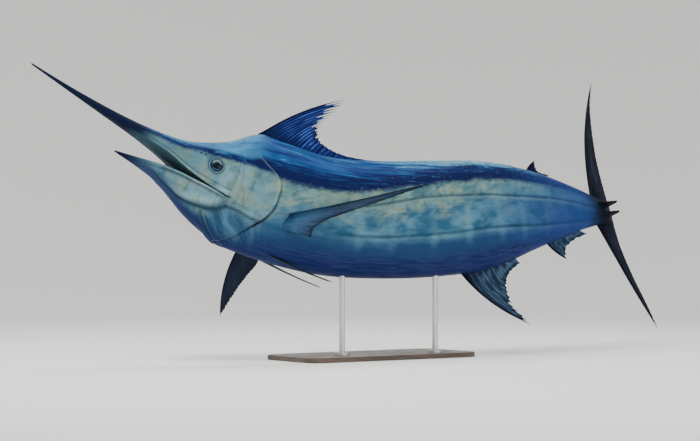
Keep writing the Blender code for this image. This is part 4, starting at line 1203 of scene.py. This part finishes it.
def make_skin(sizes, c):
    """The skin over head, jaws, gill covers and trunk, with its eye sockets and nostrils."""
    skin = Skin(skin_net(sizes))
    lid = sizes.lid_thickness / UNIT
    for side in (1, -1):
        centre, turn = skin_spot(*EYE_PLACE, side)
        rings = ((SOCKET_RADIUS, 0, 0), (1.44, -0.03, 0.15), (1.38, -0.08, 0.75), (1.33, -0.04, 0.7),
                 (1.27, lid * 0.7, 0.05), (1.2, lid, 0), (1.15, lid * 1.02, 0.25), (1.11, lid * 0.9, 0.8),
                 (1.07, lid * 0.6, 1), (1.02, -0.1, 1), (0.9, -0.3, 1), (0.5, -0.5, 1))
        profile = [(r / SOCKET_RADIUS, height * UNIT, shade) for r, height, shade in rings]
        skin.inset(centre, turn, (SOCKET_RADIUS * UNIT,) * 2, 72, profile)
        for spot in NOSTRILS:
            centre, turn = skin_spot(*spot, side)
            long, tall = sizes.nostril_length * 0.8, sizes.nostril_length * 0.45
            rings = ((1.0, 0, 0), (0.86, 0.0004, 0.1), (0.72, 0.0012, 0.15), (0.6, 0.0011, 0.3),
                     (0.52, 0.0003, 0.8), (0.48, -0.0012, 1), (0.4, -0.003, 1), (0.2, -0.0035, 1))
            skin.inset(centre, turn, (long, tall), 28, rings)
    points, places, marks, faces = skin.finished()
    station, side, up = places.T
    step = np.abs(ring_step(station, side, up))
    attributes = {
        "place": places,
        "band": np.stack([up - BACK_EDGE(station), up - BAND_TOP(station), up - BELLY_EDGE(station)], -1),
        "lines": np.stack([up - UPPER_LINE(station), up - LOWER_LINE(station),
                           np.min([np.abs(station - bar) for bar in BARS], axis=0)], -1),
        "marks": marks[:, :3],
        "highlight_brown_pleat": np.stack([marks[:, 3], marks[:, 4], off_line(station, step, GULAR_FOLD, 0.8)], -1),
        "around": np.stack([throat_share(station, step), crest_share(step), step / KEEL], -1),
    }
    look = skin_material(c)
    nodes = ("bill", "head", "lower_jaw", "gill_cover_left", "gill_cover_right", "torso_front",
             "torso_middle", "torso_rear", "tail_stock", "peduncle")
    mesh_object("marlin_skin", points, faces, attributes, look, nodes)


def ring_step(station, side, up):
    """About the ring step of places near the skin, from their direction round the axis."""
    reach = np.where(up > 0, TOP(station), BOTTOM(station))
    across, high = np.abs(side) / HALF(station), up / reach
    return np.degrees(np.arctan2(across, high)) / 180 * KEEL


def throat_share(station, step):
    """1 on the lower jaw and throat under the folds, rising slowly away from them."""
    under = -off_line(station, step, MANDIBLE_FOLD + COVER_FOLD[1:], 0.8)
    return smooth(under, -0.25, 1.4) * smooth(station, 3, 8)


def make_eyes(c):
    """Two eyeballs in the sockets."""
    look = eye_material(c)
    rings, count = 40, 72
    numbers = np.arange(rings * count).reshape(rings, count)
    for side, name in NAMES.items():
        centre, turn = skin_spot(*EYE_PLACE, side)
        centre = centre - turn[:, 2] * EYE_SINK * UNIT
        points, local = [], []
        for i in range(rings):
            tilt = math.pi * (i + 0.5) / rings
            for k in range(count):
                t = 2 * math.pi * k / count
                x, y, z = math.sin(tilt) * math.cos(t), math.sin(tilt) * math.sin(t), math.cos(tilt)
                dome = EYE_BULGE * z + 0.03 * max(z, 0) * math.exp(-((x * x + y * y) / 0.25))
                points.append(centre + turn @ (np.array([x * EYE_RADIUS, y * EYE_RADIUS, dome]) * UNIT))
                local.append((x, y, z))
        mesh_object(f"eyeball_{name}", points, tube_faces(numbers) + [numbers[0], numbers[-1]],
                    {"iris": local}, look, (f"eye_{name}",))


def path(*points):
    """A smooth path from share 0 to 1 through (share, station, side, up) places, for arrays of shares."""
    parts = [curve(*((p[0], p[k]) for p in points)) for k in (1, 2, 3)]
    return lambda share: np.stack([part(share) for part in parts], -1)


def flat_path(*points):
    """A path through (share, station, up) places in the fish's middle plane."""
    return path(*((share, station, 0, up) for share, station, up in points))


FORK = 0.0066
# What a fin is unless FINS says otherwise: its bow as (station, side, up) and how fast that fades towards the
# last ray, how deep the rear edge is notched between the rays and how much that changes towards the last ray,
# the fillet at the skin, how dark its downward faces are painted as shade, and the swelling of the leading
# edge
FIN_DEFAULTS = dict(bow=(0, 0, 0), ease=1, notch=0, rear_notch=0, fillet=0.0015, under=0, lead=1.6)
FILLET_SPREAD = 0.008
# Fins of one kind, with sizes as half the thickness of a ray's root and tip and the membrane's root and tip
SAIL = dict(sizes=(0.0042, 0.0010, 0.0014, 0.0006))
FINLET = dict(rays=7, rows=24, sizes=(0.0026, 0.0009, 0.0012, 0.0006))
PECTORAL = dict(rays=21, rows=64, notch=0.02, fillet=0.005, under=1, sizes=(0.0060, 0.0012, 0.0030, 0.0007))
PELVIC = dict(rays=3, rows=60, lead=1.2, sizes=(0.0036, 0.0012, 0.0024, 0.0009))
LOBE = dict(rays=26, rows=72, notch=0.015, sizes=(0.0070, 0.0011, 0.0040, 0.0007))
FINS = {
    "first_dorsal_fin": dict(
        SAIL, root=flat_path((0, 20.2, 8.0), (0.3, 25.5, 8.8), (0.7, 33.5, 8.4), (0.88, 38, 8.6),
                             (1, 44, 9.0)),
        edge=flat_path((0, 40.4, 20.0), (0.09, 38.9, 18.8), (0.18, 37.3, 17.4), (0.28, 35.5, 16.0),
                       (0.38, 34.3, 14.9), (0.5, 33.8, 13.3), (0.62, 34.6, 11.7), (0.75, 37, 10.7),
                       (0.88, 40, 10.1), (1, 45.5, 9.75)),
        bow=(-1.6, 0, 1.6), ease=2.5, rays=24, rows=60, notch=0.2, rear_notch=-0.16),
    "second_dorsal_fin": dict(
        FINLET, root=flat_path((0, 79.6, 6.5), (1, 83.5, 5.6)),
        edge=flat_path((0, 82.7, 9.0), (0.25, 82.4, 7.9), (0.5, 82.7, 7.1), (1, 85.4, 6.2)),
        bow=(-0.4, 0, 0.2), notch=0.06),
    "first_anal_fin": dict(
        SAIL, root=flat_path((0, 60.3, -8.9), (1, 71.5, -7.5)),
        edge=flat_path((0, 72.3, -19.8), (0.15, 70.7, -17.9), (0.3, 69.3, -16.0), (0.5, 69.0, -13.4),
                       (0.7, 69.4, -11.4), (0.85, 70.6, -10.2), (1, 73.0, -9.0)),
        bow=(-1.2, 0, -0.6), rays=16, rows=48, notch=0.07, rear_notch=-0.01),
    "second_anal_fin": dict(
        FINLET, root=flat_path((0, 80.3, -5.3), (1, 88.5, -3.6)),
        edge=flat_path((0, 84.8, -9.2), (0.3, 85.0, -7.6), (0.6, 87.3, -6.1), (1, 92.0, -4.7)),
        bow=(-0.5, 0, -0.3), notch=0.08),
    "pectoral_fin_left": dict(
        PECTORAL, root=path((0, 25.9, 4.6, -4.6), (1, 26.7, 4.4, -5.8)),
        edge=path((0, 50.4, 11.0, 3.2), (0.12, 46.6, 10.2, 1.9), (0.3, 41.0, 9.1, -0.2),
                  (0.5, 36.5, 8.3, -2.2), (0.7, 33.0, 7.7, -4.2), (0.85, 31.6, 7.3, -5.8),
                  (1, 31.5, 6.9, -7.1)),
        bow=(0.2, 0.82, 0.9)),
    "pectoral_fin_right": dict(
        PECTORAL, root=path((0, 26.0, -4.4, -4.3), (1, 27.0, -4.2, -5.7)),
        edge=path((0, 31.0, -28.24, -13.67), (0.12, 30.7, -25.2, -12.7), (0.3, 30.2, -20.6, -11.5),
                  (0.5, 29.8, -16.4, -10.4), (0.7, 29.7, -13.0, -9.3), (0.85, 29.8, -11.0, -8.5),
                  (1, 29.6, -9.6, -7.9)),
        bow=(-1.2, 0, 0.3)),
    "caudal_upper_lobe": dict(
        LOBE, root=flat_path((0, 96.4, 1.4), (1, 99.9, FORK)),
        edge=flat_path((0, 107.25, 26.86), (0.15, 104.5, 21.8), (0.35, 102.5, 15.5), (0.55, 101.5, 10.2),
                       (0.75, 101.3, 6.0), (0.9, 101.4, 2.8), (1, 101.7, FORK)),
        bow=(-2.4, 0, 0)),
    "caudal_lower_lobe": dict(
        LOBE, root=flat_path((0, 95.9, -1.5), (1, 99.9, -FORK)),
        edge=flat_path((0, 107.55, -21.48), (0.15, 106.1, -17.6), (0.35, 103.9, -12.8), (0.55, 102.4, -8.6),
                       (0.75, 101.7, -5.4), (0.9, 101.6, -2.6), (1, 101.7, -FORK)),
        bow=(-0.8, 0, 0)),
}


for sign, word in NAMES.items():
    FINS[f"pelvic_fin_{word}"] = dict(
        PELVIC, root=path((0, 22.8, 1.9 * sign, -9.0), (1, 22.9, 1.2 * sign, -9.1)),
        edge=path((0, 37.0, 2.3 * sign, -12.4), (1, 36.5, 2.0 * sign, -12.3)))


def make_fin(node, name, look, per_ray):
    """A fin as one closed sheet with rays as ridges, a rounded leading edge and a notched rear edge."""
    fin = {**FIN_DEFAULTS, **FINS[node]}
    columns = (fin["rays"] - 1) * per_ray
    share = np.linspace(0, 1, columns + 1)
    phase = share * (fin["rays"] - 1)
    ridge = np.cos(math.pi * phase) ** 2
    ragged = 0.5 + 0.5 * np.sin(phase * 2.3 + 0.7) * np.sin(phase * 0.9)
    depth = fin["notch"] + fin["rear_notch"] * smooth(share, 0.3, 0.75)
    length = 1 - depth * (1 - ridge) ** 0.55 * (0.45 + 0.9 * ragged)
    t = np.linspace(0, 1, fin["rows"] + 1)
    v = length[:, None] * t[None, :]
    root, edge = fin["root"](share), fin["edge"](share)
    middle = root[:, None] + (edge - root)[:, None] * v[..., None]
    ease = (1 - share[:, None]) ** fin["ease"]
    middle = middle + np.array(fin["bow"], float) * (4 * v * (1 - v) * ease)[..., None]
    points = place(middle[..., 0], middle[..., 1], middle[..., 2])
    reach = skin_distance(points)
    ray_root, ray_tip, web_root, web_tip = fin["sizes"]
    ray = ray_root + (ray_tip - ray_root) * v
    web = web_root + (web_tip - web_root) * v
    thick = web + (ray - web) * (ridge ** 1.5)[:, None]
    thick = thick * (1 + (fin["lead"] - 1) * np.exp(-phase / 0.35))[:, None]
    thick = thick + fin["fillet"] * np.exp(-reach / FILLET_SPREAD)
    across = np.gradient(points, axis=0)
    normal = np.cross(across, np.gradient(points, axis=1))
    normal /= np.linalg.norm(normal, axis=-1)[..., None] + 1e-12
    outward = across / (np.linalg.norm(across, axis=-1)[..., None] + 1e-12)
    points, thick, normal, middle, v, ridge, share = round_edges(
        points, thick, outward, normal, middle, v, ridge, share)
    fronts, backs = points + normal * thick[..., None], points - normal * thick[..., None]
    numbers = np.arange(v.size).reshape(v.shape)
    faces = []
    for grid in (numbers, numbers + v.size):
        corners = (grid[:-1, :-1], grid[1:, :-1], grid[1:, 1:], grid[:-1, 1:])
        faces += np.stack(corners, -1).reshape(-1, 4).tolist()
    border = np.array([*numbers[:, 0], *numbers[-1, 1:], *numbers[-2::-1, -1], *numbers[0, -2:0:-1]])
    faces += ring_faces(border, border + v.size)
    shares = np.stack(np.broadcast_arrays(ridge[:, None], v, share[:, None]), -1)
    both = [np.concatenate([part.reshape(-1, 3)] * 2) for part in (shares, middle)]
    # Painted shade: how far each face looks down, for the fins whose under is set
    facing = np.concatenate([normal[..., 2].ravel(), -normal[..., 2].ravel()])
    under = fin["under"] * smooth(-facing, 0.05, 0.3)
    depth = np.concatenate([skin_distance(fronts).ravel(), skin_distance(backs).ravel()]) / UNIT
    points = np.concatenate([fronts.reshape(-1, 3), backs.reshape(-1, 3)])
    sheet = np.stack(np.broadcast_arrays(under, depth, MERGING * fin["under"]), -1)
    mesh_object(name, points, faces, {"fin": both[0], "place": both[1], "sheet": sheet}, look, (node,))


@lru_cache
def skin_tree():
    """A search tree of the skin, which is made before the fins."""
    skin = bpy.data.objects["marlin_skin"].data
    return BVHTree.FromPolygons([v.co for v in skin.vertices], [tuple(p.vertices) for p in skin.polygons])


def skin_distance(points):
    """Distance of points from the skin."""
    near = [skin_tree().find_nearest(Vector(p))[3] for p in points.reshape(-1, 3)]
    return np.array(near).reshape(points.shape[:-1])


def make_fins(finish, rays, colours, **fins):
    """Fins of one finish, as node=name; colours names those of base, rays, membrane, patches and edge."""
    look = fin_material(finish, palette(), rays, *colours.split())
    for node, name in fins.items():
        make_fin(node, name, look, bpy.context.scene.marlin_sizes.ray_columns)


def round_edges(points, thick, outward, *others):
    """Adds narrowing columns ahead of the first one and behind the last one."""
    turns = (0.45, 0.8, 1.0)
    before = [points[0] - outward[0] * (thick[0] * a)[:, None] for a in turns][::-1]
    after = [points[-1] + outward[-1] * (thick[-1] * a)[:, None] for a in turns]
    narrow = [math.sqrt(1 - min(a, 0.98) ** 2) for a in turns]
    points = np.concatenate([before, points, after])
    thick = np.concatenate([[thick[0] * n for n in narrow[::-1]], thick, [thick[-1] * n for n in narrow]])
    return points, thick, *(np.concatenate([part[:1]] * 3 + [part] + [part[-1:]] * 3) for part in others)


def make_keels(c):
    """Two short pointed ridges on each side of the tail's root."""
    look, g, shader = new_material("Marlin keel", 0.5, specular=0.01)
    where = g.attribute("place")
    scales = use_group(g, group_named("Marlin scales", scales_group), place=where, density=2, depth=0.6)
    streak = g.noise(g.stretched(where, (0.5, 3, 3)), 1.2, 4, 0.6)
    g.dress(shader, base_color=g.mix(g.step(streak, 0.35, 0.75), c["keel"], c["keel_light"]),
            roughness=g.step(scales["Mottle"], 0.2, 0.8, 0.45, 0.65),
            normal=g.bump(g.plus(scales["Height"], streak), 0.3, 0.0008))
    turn = 2 * math.pi * np.arange(32) / 32
    s, t = np.meshgrid(np.linspace(*KEEL_STATIONS, 60), turn, indexing="ij")
    numbers = np.arange(s.size).reshape(s.shape)
    for side in NAMES:
        for rise, label in ((KEEL_RISE, "upper"), (-KEEL_RISE, "lower")):
            outer = np.maximum(np.cos(t), 0)
            across = KEEL_ROOT + (KEEL_REACH(s) - KEEL_ROOT) * outer ** 0.9
            across = across + KEEL_ROOT * np.minimum(np.cos(t), 0)
            over = rise + KEEL_HEIGHT(s) * np.sin(t) * (0.35 + 0.65 * (1 - outer))
            over = over + 0.02 * np.sin(s * 4.0) * outer
            points = place(s, side * across, over).reshape(-1, 3)
            name = f"{NAMES[side]}_{label}"
            mesh_object(f"tail_keel_{name}", points, tube_faces(numbers) + [numbers[0], numbers[-1]],
                        {"place": np.stack([s, side * across, over], -1)}, look, (f"keel_{name}",))


def finish_stand(c):
    """Dark stained wood on the base and brushed steel on the rods."""
    wood, g, shader = new_material("Stained wood", 0.42, coat=0.12, coat_roughness=0.2)
    spot = g.node("ShaderNodeTexCoord").outputs["Object"]
    wear = use_group(g, group_named("Stand wear", wear_group), position=spot, grain=(0.35, 6, 6))
    bands = g.noise(g.stretched(spot, (1, 14, 14)), 2.2, 4, 0.6, 1.2)
    pores = g.noise(g.stretched(spot, (12, 320, 320)), 1, 2, 0.5)
    colour = g.mix(g.step(bands, 0.35, 0.68), c["wood"], c["wood_light"])
    g.dress(shader, base_color=g.layers(colour, c, ("pupil", 0.6, (pores, 0.62, 0.75))),
            roughness=g.step(wear["Dust"], 0.3, 0.75, 0.3, 0.5),
            normal=g.bump(g.minus(g.times(bands, 0.5), g.times(pores, 0.5)), 0.25, 0.0008))
    steel, g, shader = new_material("Brushed steel", 0.32, metallic=1)
    spot = g.node("ShaderNodeTexCoord").outputs["Object"]
    wear = use_group(g, group_named("Stand wear", wear_group), position=spot, grain=(30, 30, 0.6))
    g.dress(shader, base_color=g.mix(g.step(wear["Scratch"], 0.3, 0.7), c["steel"], c["steel_dark"]),
            roughness=g.step(wear["Dust"], 0.3, 0.7, 0.24, 0.4), normal=g.bump(wear["Scratch"], 0.15, 0.0004))
    for name, look in (("stand_base", wood), ("stand_rod_front", steel), ("stand_rod_rear", steel)):
        node = bpy.data.objects[name]
        node.data.materials.clear()
        node.data.materials.append(look)


# The backdrop, in metres: how far the floor is flat, the radius of its bend, the wall's top, and the ground
# outside it as its inner edge, outer edge and height
FLOOR_REACH = 4.5
BEND = 3.0
WALL_TOP = 7.5
GROUND = (4.4, 30.0, -0.002)
BACKDROP_SIDES = 96
SKY = (0.93, 0.95, 1.0, 1.0)
SENSOR_WIDTH = 36.0


def make_stage(settings):
    """A pale floor that bends up into a backdrop, soft lights and the camera."""
    look, g, shader = new_material("Studio paper", 0.85)
    fibre = g.noise(g.node("ShaderNodeTexCoord").outputs["Object"], 180, 3, 0.6)
    tone, darker = ((*(v * share for v in settings.floor_colour), 1.0) for share in (1, 0.965))
    outside = g.node("ShaderNodeNewGeometry").outputs["Backfacing"]
    g.dress(shader, base_color=g.mix(g.step(fibre, 0.3, 0.7), tone, darker),
            normal=g.bump(fibre, 0.05, 0.0003), alpha=g.minus(1, outside))
    away = np.array([-math.sin(settings.camera_turn), math.cos(settings.camera_turn), 0.0])
    right = np.array([away[1], -away[0], 0.0])
    outline = [(reach, 0.0) for reach in np.linspace(0.5, FLOOR_REACH, 9)]
    outline += [(FLOOR_REACH + BEND * math.sin(a), BEND - BEND * math.cos(a))
                for a in np.linspace(0.06, math.pi / 2, 24)]
    outline += [(FLOOR_REACH + BEND, high) for high in np.linspace(BEND * 1.5, WALL_TOP, 3)]
    outline += [(reach, GROUND[2]) for reach in GROUND[:2]]
    turns = 2 * math.pi * np.arange(BACKDROP_SIDES) / BACKDROP_SIDES
    points = [(reach * math.cos(t), reach * math.sin(t), high) for reach, high in outline for t in turns]
    rings = np.arange(len(points)).reshape(len(outline), BACKDROP_SIDES)
    sides = tube_faces(rings[:-2]) + tube_faces(rings[-2:])
    mesh = new_mesh("stage_floor", points, [rings[0]] + [(a, d, c, b) for a, b, c, d in sides])
    placed("stage_floor", mesh, look)
    target = np.array(CAMERA_TARGET)
    for name, (across, nearer, high), size, power_share, tint in LIGHTS:
        data = bpy.data.lights.new(name, "AREA")
        data.shape = "RECTANGLE"
        data.size, data.size_y = size
        data.energy = settings.light_power * power_share
        data.color = tint
        aim_at(name, data, target + right * across - away * nearer + np.array((0, 0, high)), target)
    world = bpy.data.worlds.new("studio")
    world.use_nodes = True
    world.node_tree.nodes["Background"].inputs[0].default_value = SKY
    world.node_tree.nodes["Background"].inputs[1].default_value = settings.world_strength
    bpy.context.scene.world = world
    data = bpy.data.cameras.new("view")
    data.lens = settings.camera_lens
    data.sensor_width = SENSOR_WIDTH
    bpy.context.scene.camera = aim_at("view", data, target - away * settings.camera_distance, target)


def aim_at(name, data, spot, target):
    """A lamp or camera at a spot, looking at the target."""
    made = bpy.data.objects.new(name, data)
    made.location = Vector(spot)
    made.rotation_euler = Vector(target - spot).to_track_quat("-Z", "Y").to_euler()
    bpy.context.scene.collection.objects.link(made)
    return made


CAMERA_TARGET = (-0.0824, 0.0577, 0.619)
# Each light: its place from the target as (right, towards the camera, up), size, share of the power, colour
LIGHTS = (
    ("key", (-1.6, 2.4, 4.6), (3.2, 2.2), 1.0, (1.0, 0.98, 0.95)),
    ("fill", (3.8, 4.2, 1.4), (3.0, 3.0), 0.30, (0.95, 0.98, 1.0)),
    ("rim", (0.4, -2.2, 4.4), (4.4, 1.0), 0.50, (1.0, 1.0, 1.0)),
)


def colour_property(name, description, value):
    return FloatVectorProperty(name=name, description=description, default=value, subtype="COLOR",
                               min=0, max=1)


class MarlinSizes(bpy.types.PropertyGroup):
    """How finely the fish is made, and the sizes of its small forms."""

    columns_above: IntProperty(name="Columns above the lip", description="On each side", default=64, min=16)
    columns_below: IntProperty(name="Columns below the lip", description="On each side", default=44, min=12)
    mouth_columns: IntProperty(name="Mouth columns", description="Across the palate and floor", default=36,
                               min=8)
    bill_rows: IntProperty(name="Bill rows", description="Along the bill", default=60, min=10)
    snout_rows: IntProperty(name="Head rows", description="Ahead of the mouth's corner", default=100, min=20)
    cheek_rows: IntProperty(name="Cheek rows", description="Over the gill covers", default=36, min=8)
    shoulder_rows: IntProperty(name="Shoulder rows", description="Behind the gill covers", default=40, min=8)
    trunk_rows: IntProperty(name="Trunk rows", description="Along the trunk", default=150, min=30)
    ray_columns: IntProperty(name="Columns for each ray", description="Across one fin ray", default=8, min=2)
    lid_thickness: FloatProperty(name="Eyelid", description="How far the eyelid stands off", default=0.0045,
                                 min=0.001, max=0.01, unit="LENGTH", subtype="DISTANCE")
    nostril_length: FloatProperty(name="Nostril", description="Length of each nostril", default=0.012,
                                  min=0.004, max=0.03, unit="LENGTH", subtype="DISTANCE")


COLOURS = {
    "back": ("Back", "Cobalt of the back", (0.0032, 0.02, 0.106)),
    "back_light": ("Back, lighter", "Streaks on the back", (0.008, 0.057, 0.175)),
    # Pale streaks along the crest, partly painted highlight
    "crest": ("Crest", "Palest streaks along the crest", (0.042, 0.165, 0.3)),
    "band": ("Band", "Dark band and lines", (0.0055, 0.0068, 0.043)),
    "flank": ("Flank", "Upper flank", (0.042, 0.105, 0.12)),
    "flank_light": ("Flank, lighter", "Pale upper flank", (0.125, 0.215, 0.205)),
    "gold": ("Gold", "Gold and brown mottling", (0.19, 0.215, 0.12)),
    "middle": ("Middle", "Teal of the middle flank", (0.022, 0.078, 0.14)),
    "middle_light": ("Middle, lighter", "Paler teal", (0.072, 0.185, 0.26)),
    # Blue of the lower flank, darkened partly as painted shade
    "lower": ("Lower flank", "Blue under the lower line", (0.0115, 0.037, 0.106)),
    "bar": ("Bars", "Pale upright bars", (0.13, 0.28, 0.34)),
    # Slate of the belly, darkened partly as painted shade
    "belly": ("Belly", "Slate of the belly", (0.0085, 0.0135, 0.072)),
    "belly_light": ("Belly, lighter", "Paler slate", (0.02, 0.034, 0.11)),
    "cheek": ("Cheek", "Silver-green cheek", (0.036, 0.095, 0.122)),
    "cheek_light": ("Cheek, lighter", "Cream cheek", (0.128, 0.225, 0.245)),
    "throat": ("Throat", "Teal-blue throat", (0.016, 0.05, 0.098)),
    "forehead": ("Forehead", "Light blue forehead", (0.02, 0.088, 0.19)),
    "bill": ("Bill", "Near-black bill", (0.005, 0.0085, 0.026)),
    # Painted sheen on the top of the bill
    "bill_top": ("Bill, top", "Blue sheen on the bill", (0.028, 0.075, 0.22)),
    "tail": ("Tail", "Slate blue towards the tail", (0.014, 0.04, 0.165)),
    # Painted glints on the back
    "sparkle": ("Flecks", "Bright flecks on the back", (0.62, 0.74, 0.8)),
    "glint": ("Highlights", "Palest touches on skin and folds", (0.27, 0.42, 0.41)),
    "brown": ("Brown lines", "Brown along the jaw and gill cover", (0.03, 0.02, 0.014)),
    "fold": ("Folds", "Shade in the folds", (0.008, 0.02, 0.045)),
    # Painted shade in the gill slit
    "slit": ("Gill slit", "Dark of the gill slit", (0.01, 0.006, 0.008)),
    "mouth": ("Mouth", "Inside of the mouth", (0.026, 0.062, 0.084)),
    "mouth_light": ("Mouth, lighter", "Paler inside", (0.11, 0.2, 0.235)),
    "iris": ("Iris", "Dark blue iris", (0.007, 0.018, 0.045)),
    "iris_light": ("Iris, lighter", "Paler lower iris", (0.025, 0.055, 0.1)),
    # Painted highlight on the top of the iris
    "crescent": ("Crescent", "Pale top of the iris", (0.15, 0.205, 0.205)),
    "pupil": ("Pupil", "Black of the pupil", (0.004, 0.006, 0.012)),
    "dorsal_ray": ("Dorsal rays", "Blue streaks of the first dorsal fin", (0.048, 0.105, 0.36)),
    "dorsal_web": ("Dorsal membrane", "Indigo membrane", (0.0035, 0.0048, 0.046)),
    "dorsal_patch": ("Dorsal patches", "Brighter indigo", (0.007, 0.016, 0.105)),
    "dark_base": ("Fin base", "Darker root of the fins", (0.002, 0.004, 0.02)),
    "edge": ("Fin edge", "Near-black edges", (0.003, 0.004, 0.008)),
    "anal_ray": ("Anal rays", "Dark rays", (0.01, 0.018, 0.032)),
    "anal_web": ("Anal membrane", "Dark membrane", (0.01, 0.022, 0.048)),
    "anal_patch": ("Anal patches", "Pale blue-grey", (0.06, 0.12, 0.19)),
    "paired_ray": ("Pectoral rays", "Slate rays", (0.022, 0.042, 0.075)),
    "paired_web": ("Pectoral membrane", "Dark slate", (0.012, 0.026, 0.052)),
    "paired_patch": ("Pectoral patches", "Paler slate", (0.03, 0.058, 0.098)),
    # Painted shade for a fin's faces that look down
    "underside": ("Pectoral underside", "Near-black underside", (0.004, 0.007, 0.02)),
    "caudal_ray": ("Tail rays", "Grey rays of the tail", (0.016, 0.02, 0.034)),
    "caudal_web": ("Tail membrane", "Near-black tail", (0.006, 0.007, 0.011)),
    "caudal_patch": ("Tail patches", "Grey streaks", (0.02, 0.026, 0.05)),
    "keel": ("Keels", "Near-black keels", (0.004, 0.005, 0.009)),
    "keel_light": ("Keels, lighter", "Slate on the keels", (0.02, 0.023, 0.034)),
    "wood": ("Wood", "Dark stained wood", (0.035, 0.022, 0.015)),
    "wood_light": ("Wood, lighter", "Lighter grain", (0.085, 0.052, 0.032)),
    "steel": ("Steel", "Brushed steel", (0.62, 0.62, 0.64)),
    "steel_dark": ("Steel, darker", "Scratches in the steel", (0.42, 0.42, 0.44)),
}


class MarlinColours(bpy.types.PropertyGroup):
    """The colours of the fish and its stand."""

    __annotations__ = {key: colour_property(*row) for key, row in COLOURS.items()}


class MarlinStage(bpy.types.PropertyGroup):
    """The floor, lights and camera."""

    floor_colour: colour_property("Floor", "Pale studio paper", (0.80, 0.80, 0.79))
    light_power: FloatProperty(name="Light", description="Power of the main light", default=420.0, min=0,
                               unit="POWER")
    world_strength: FloatProperty(name="Ambient", description="Strength of the light all round",
                                  default=0.24, min=0)
    camera_turn: FloatProperty(name="Camera turn", description="Turn round the upright axis",
                               default=math.radians(-35), unit="ROTATION", subtype="ANGLE")
    camera_lens: FloatProperty(name="Lens", description="Focal length", default=120.0, min=20,
                               unit="CAMERA")
    camera_distance: FloatProperty(name="Camera distance", description="From the middle of the fish",
                                   default=10.5, min=2, unit="LENGTH", subtype="DISTANCE")


def palette():
    """The colours as (r, g, b, 1) by name."""
    group = bpy.context.scene.marlin_colours
    return {key: (*getattr(group, key), 1.0) for key in MarlinColours.__annotations__}


class MARLIN_OT_skin(bpy.types.Operator):
    """Make the skin over head, jaws, gill covers and trunk"""

    bl_idname = "marlin.skin"
    bl_label = "Skin"

    def execute(self, context):
        make_skin(context.scene.marlin_sizes, palette())
        return {"FINISHED"}


class MARLIN_OT_eyes(bpy.types.Operator):
    """Make both eyeballs"""

    bl_idname = "marlin.eyes"
    bl_label = "Eyes"

    def execute(self, context):
        make_eyes(palette())
        return {"FINISHED"}


class MARLIN_OT_dorsal_fins(bpy.types.Operator):
    """Make the two fins of the back"""

    bl_idname = "marlin.dorsal_fins"
    bl_label = "Dorsal fins"

    def execute(self, context):
        make_fins("Dorsal fin", 26, "dark_base dorsal_ray dorsal_web dorsal_patch dark_base",
                  first_dorsal_fin="dorsal_sail")
        make_fins("Dorsal finlet", 7, "edge dark_base dorsal_web dorsal_web edge",
                  second_dorsal_fin="dorsal_finlet")
        return {"FINISHED"}


class MARLIN_OT_anal_fins(bpy.types.Operator):
    """Make the two anal fins"""

    bl_idname = "marlin.anal_fins"
    bl_label = "Anal fins"

    def execute(self, context):
        make_fins("Anal fin", 16, "dark_base anal_ray anal_web anal_patch edge",
                  first_anal_fin="anal_sail", second_anal_fin="anal_finlet")
        return {"FINISHED"}


class MARLIN_OT_paired_fins(bpy.types.Operator):
    """Make the pectoral and pelvic fins"""

    bl_idname = "marlin.paired_fins"
    bl_label = "Pectoral and pelvic fins"

    def execute(self, context):
        fins = {f"{kind}_fin_{side}": f"{kind}_{side}" for kind in ("pectoral", "pelvic")
                for side in NAMES.values()}
        make_fins("Pectoral fin", 21, "paired_web paired_ray paired_web paired_patch edge", **fins)
        return {"FINISHED"}


class MARLIN_OT_caudal_fin(bpy.types.Operator):
    """Make both lobes of the tail"""

    bl_idname = "marlin.caudal_fin"
    bl_label = "Tail"

    def execute(self, context):
        make_fins("Tail fin", 26, "edge caudal_ray caudal_web caudal_patch edge",
                  caudal_upper_lobe="tail_upper", caudal_lower_lobe="tail_lower")
        return {"FINISHED"}


class MARLIN_OT_keels(bpy.types.Operator):
    """Make the four keels beside the tail's root"""

    bl_idname = "marlin.keels"
    bl_label = "Keels"

    def execute(self, context):
        make_keels(palette())
        return {"FINISHED"}


class MARLIN_OT_stand(bpy.types.Operator):
    """Give the display stand its wood and steel"""

    bl_idname = "marlin.stand"
    bl_label = "Stand"

    def execute(self, context):
        finish_stand(palette())
        return {"FINISHED"}


class MARLIN_OT_stage(bpy.types.Operator):
    """Make the floor, the lights and the camera"""

    bl_idname = "marlin.stage"
    bl_label = "Stage"

    def execute(self, context):
        make_stage(context.scene.marlin_stage)
        return {"FINISHED"}


OPERATORS = (MARLIN_OT_skin, MARLIN_OT_eyes, MARLIN_OT_dorsal_fins, MARLIN_OT_anal_fins,
             MARLIN_OT_paired_fins, MARLIN_OT_caudal_fin, MARLIN_OT_keels, MARLIN_OT_stand, MARLIN_OT_stage)
SETTINGS = {"marlin_sizes": MarlinSizes, "marlin_colours": MarlinColours, "marlin_stage": MarlinStage}


class MARLIN_PT_panel(bpy.types.Panel):
    """Lists the pieces of the marlin"""

    bl_idname = "MARLIN_PT_panel"
    bl_label = "Blue marlin"
    bl_space_type = "VIEW_3D"
    bl_region_type = "UI"
    bl_category = "Marlin"

    def draw(self, context):
        for operator in OPERATORS:
            self.layout.operator(operator.bl_idname)
        for name, group in SETTINGS.items():
            box = self.layout.box()
            for key in group.__annotations__:
                box.prop(getattr(context.scene, name), key)


def register():
    for group in (*SETTINGS.values(), *OPERATORS, MARLIN_PT_panel):
        bpy.utils.register_class(group)
    for name, group in SETTINGS.items():
        setattr(bpy.types.Scene, name, PointerProperty(type=group))


def unregister():
    for name in SETTINGS:
        delattr(bpy.types.Scene, name)
    for group in reversed((*SETTINGS.values(), *OPERATORS, MARLIN_PT_panel)):
        bpy.utils.unregister_class(group)


def main():
    register()
    for operator in OPERATORS:
        family, name = operator.bl_idname.split(".")
        getattr(getattr(bpy.ops, family), name)()


if __name__ == "__main__":
    main()
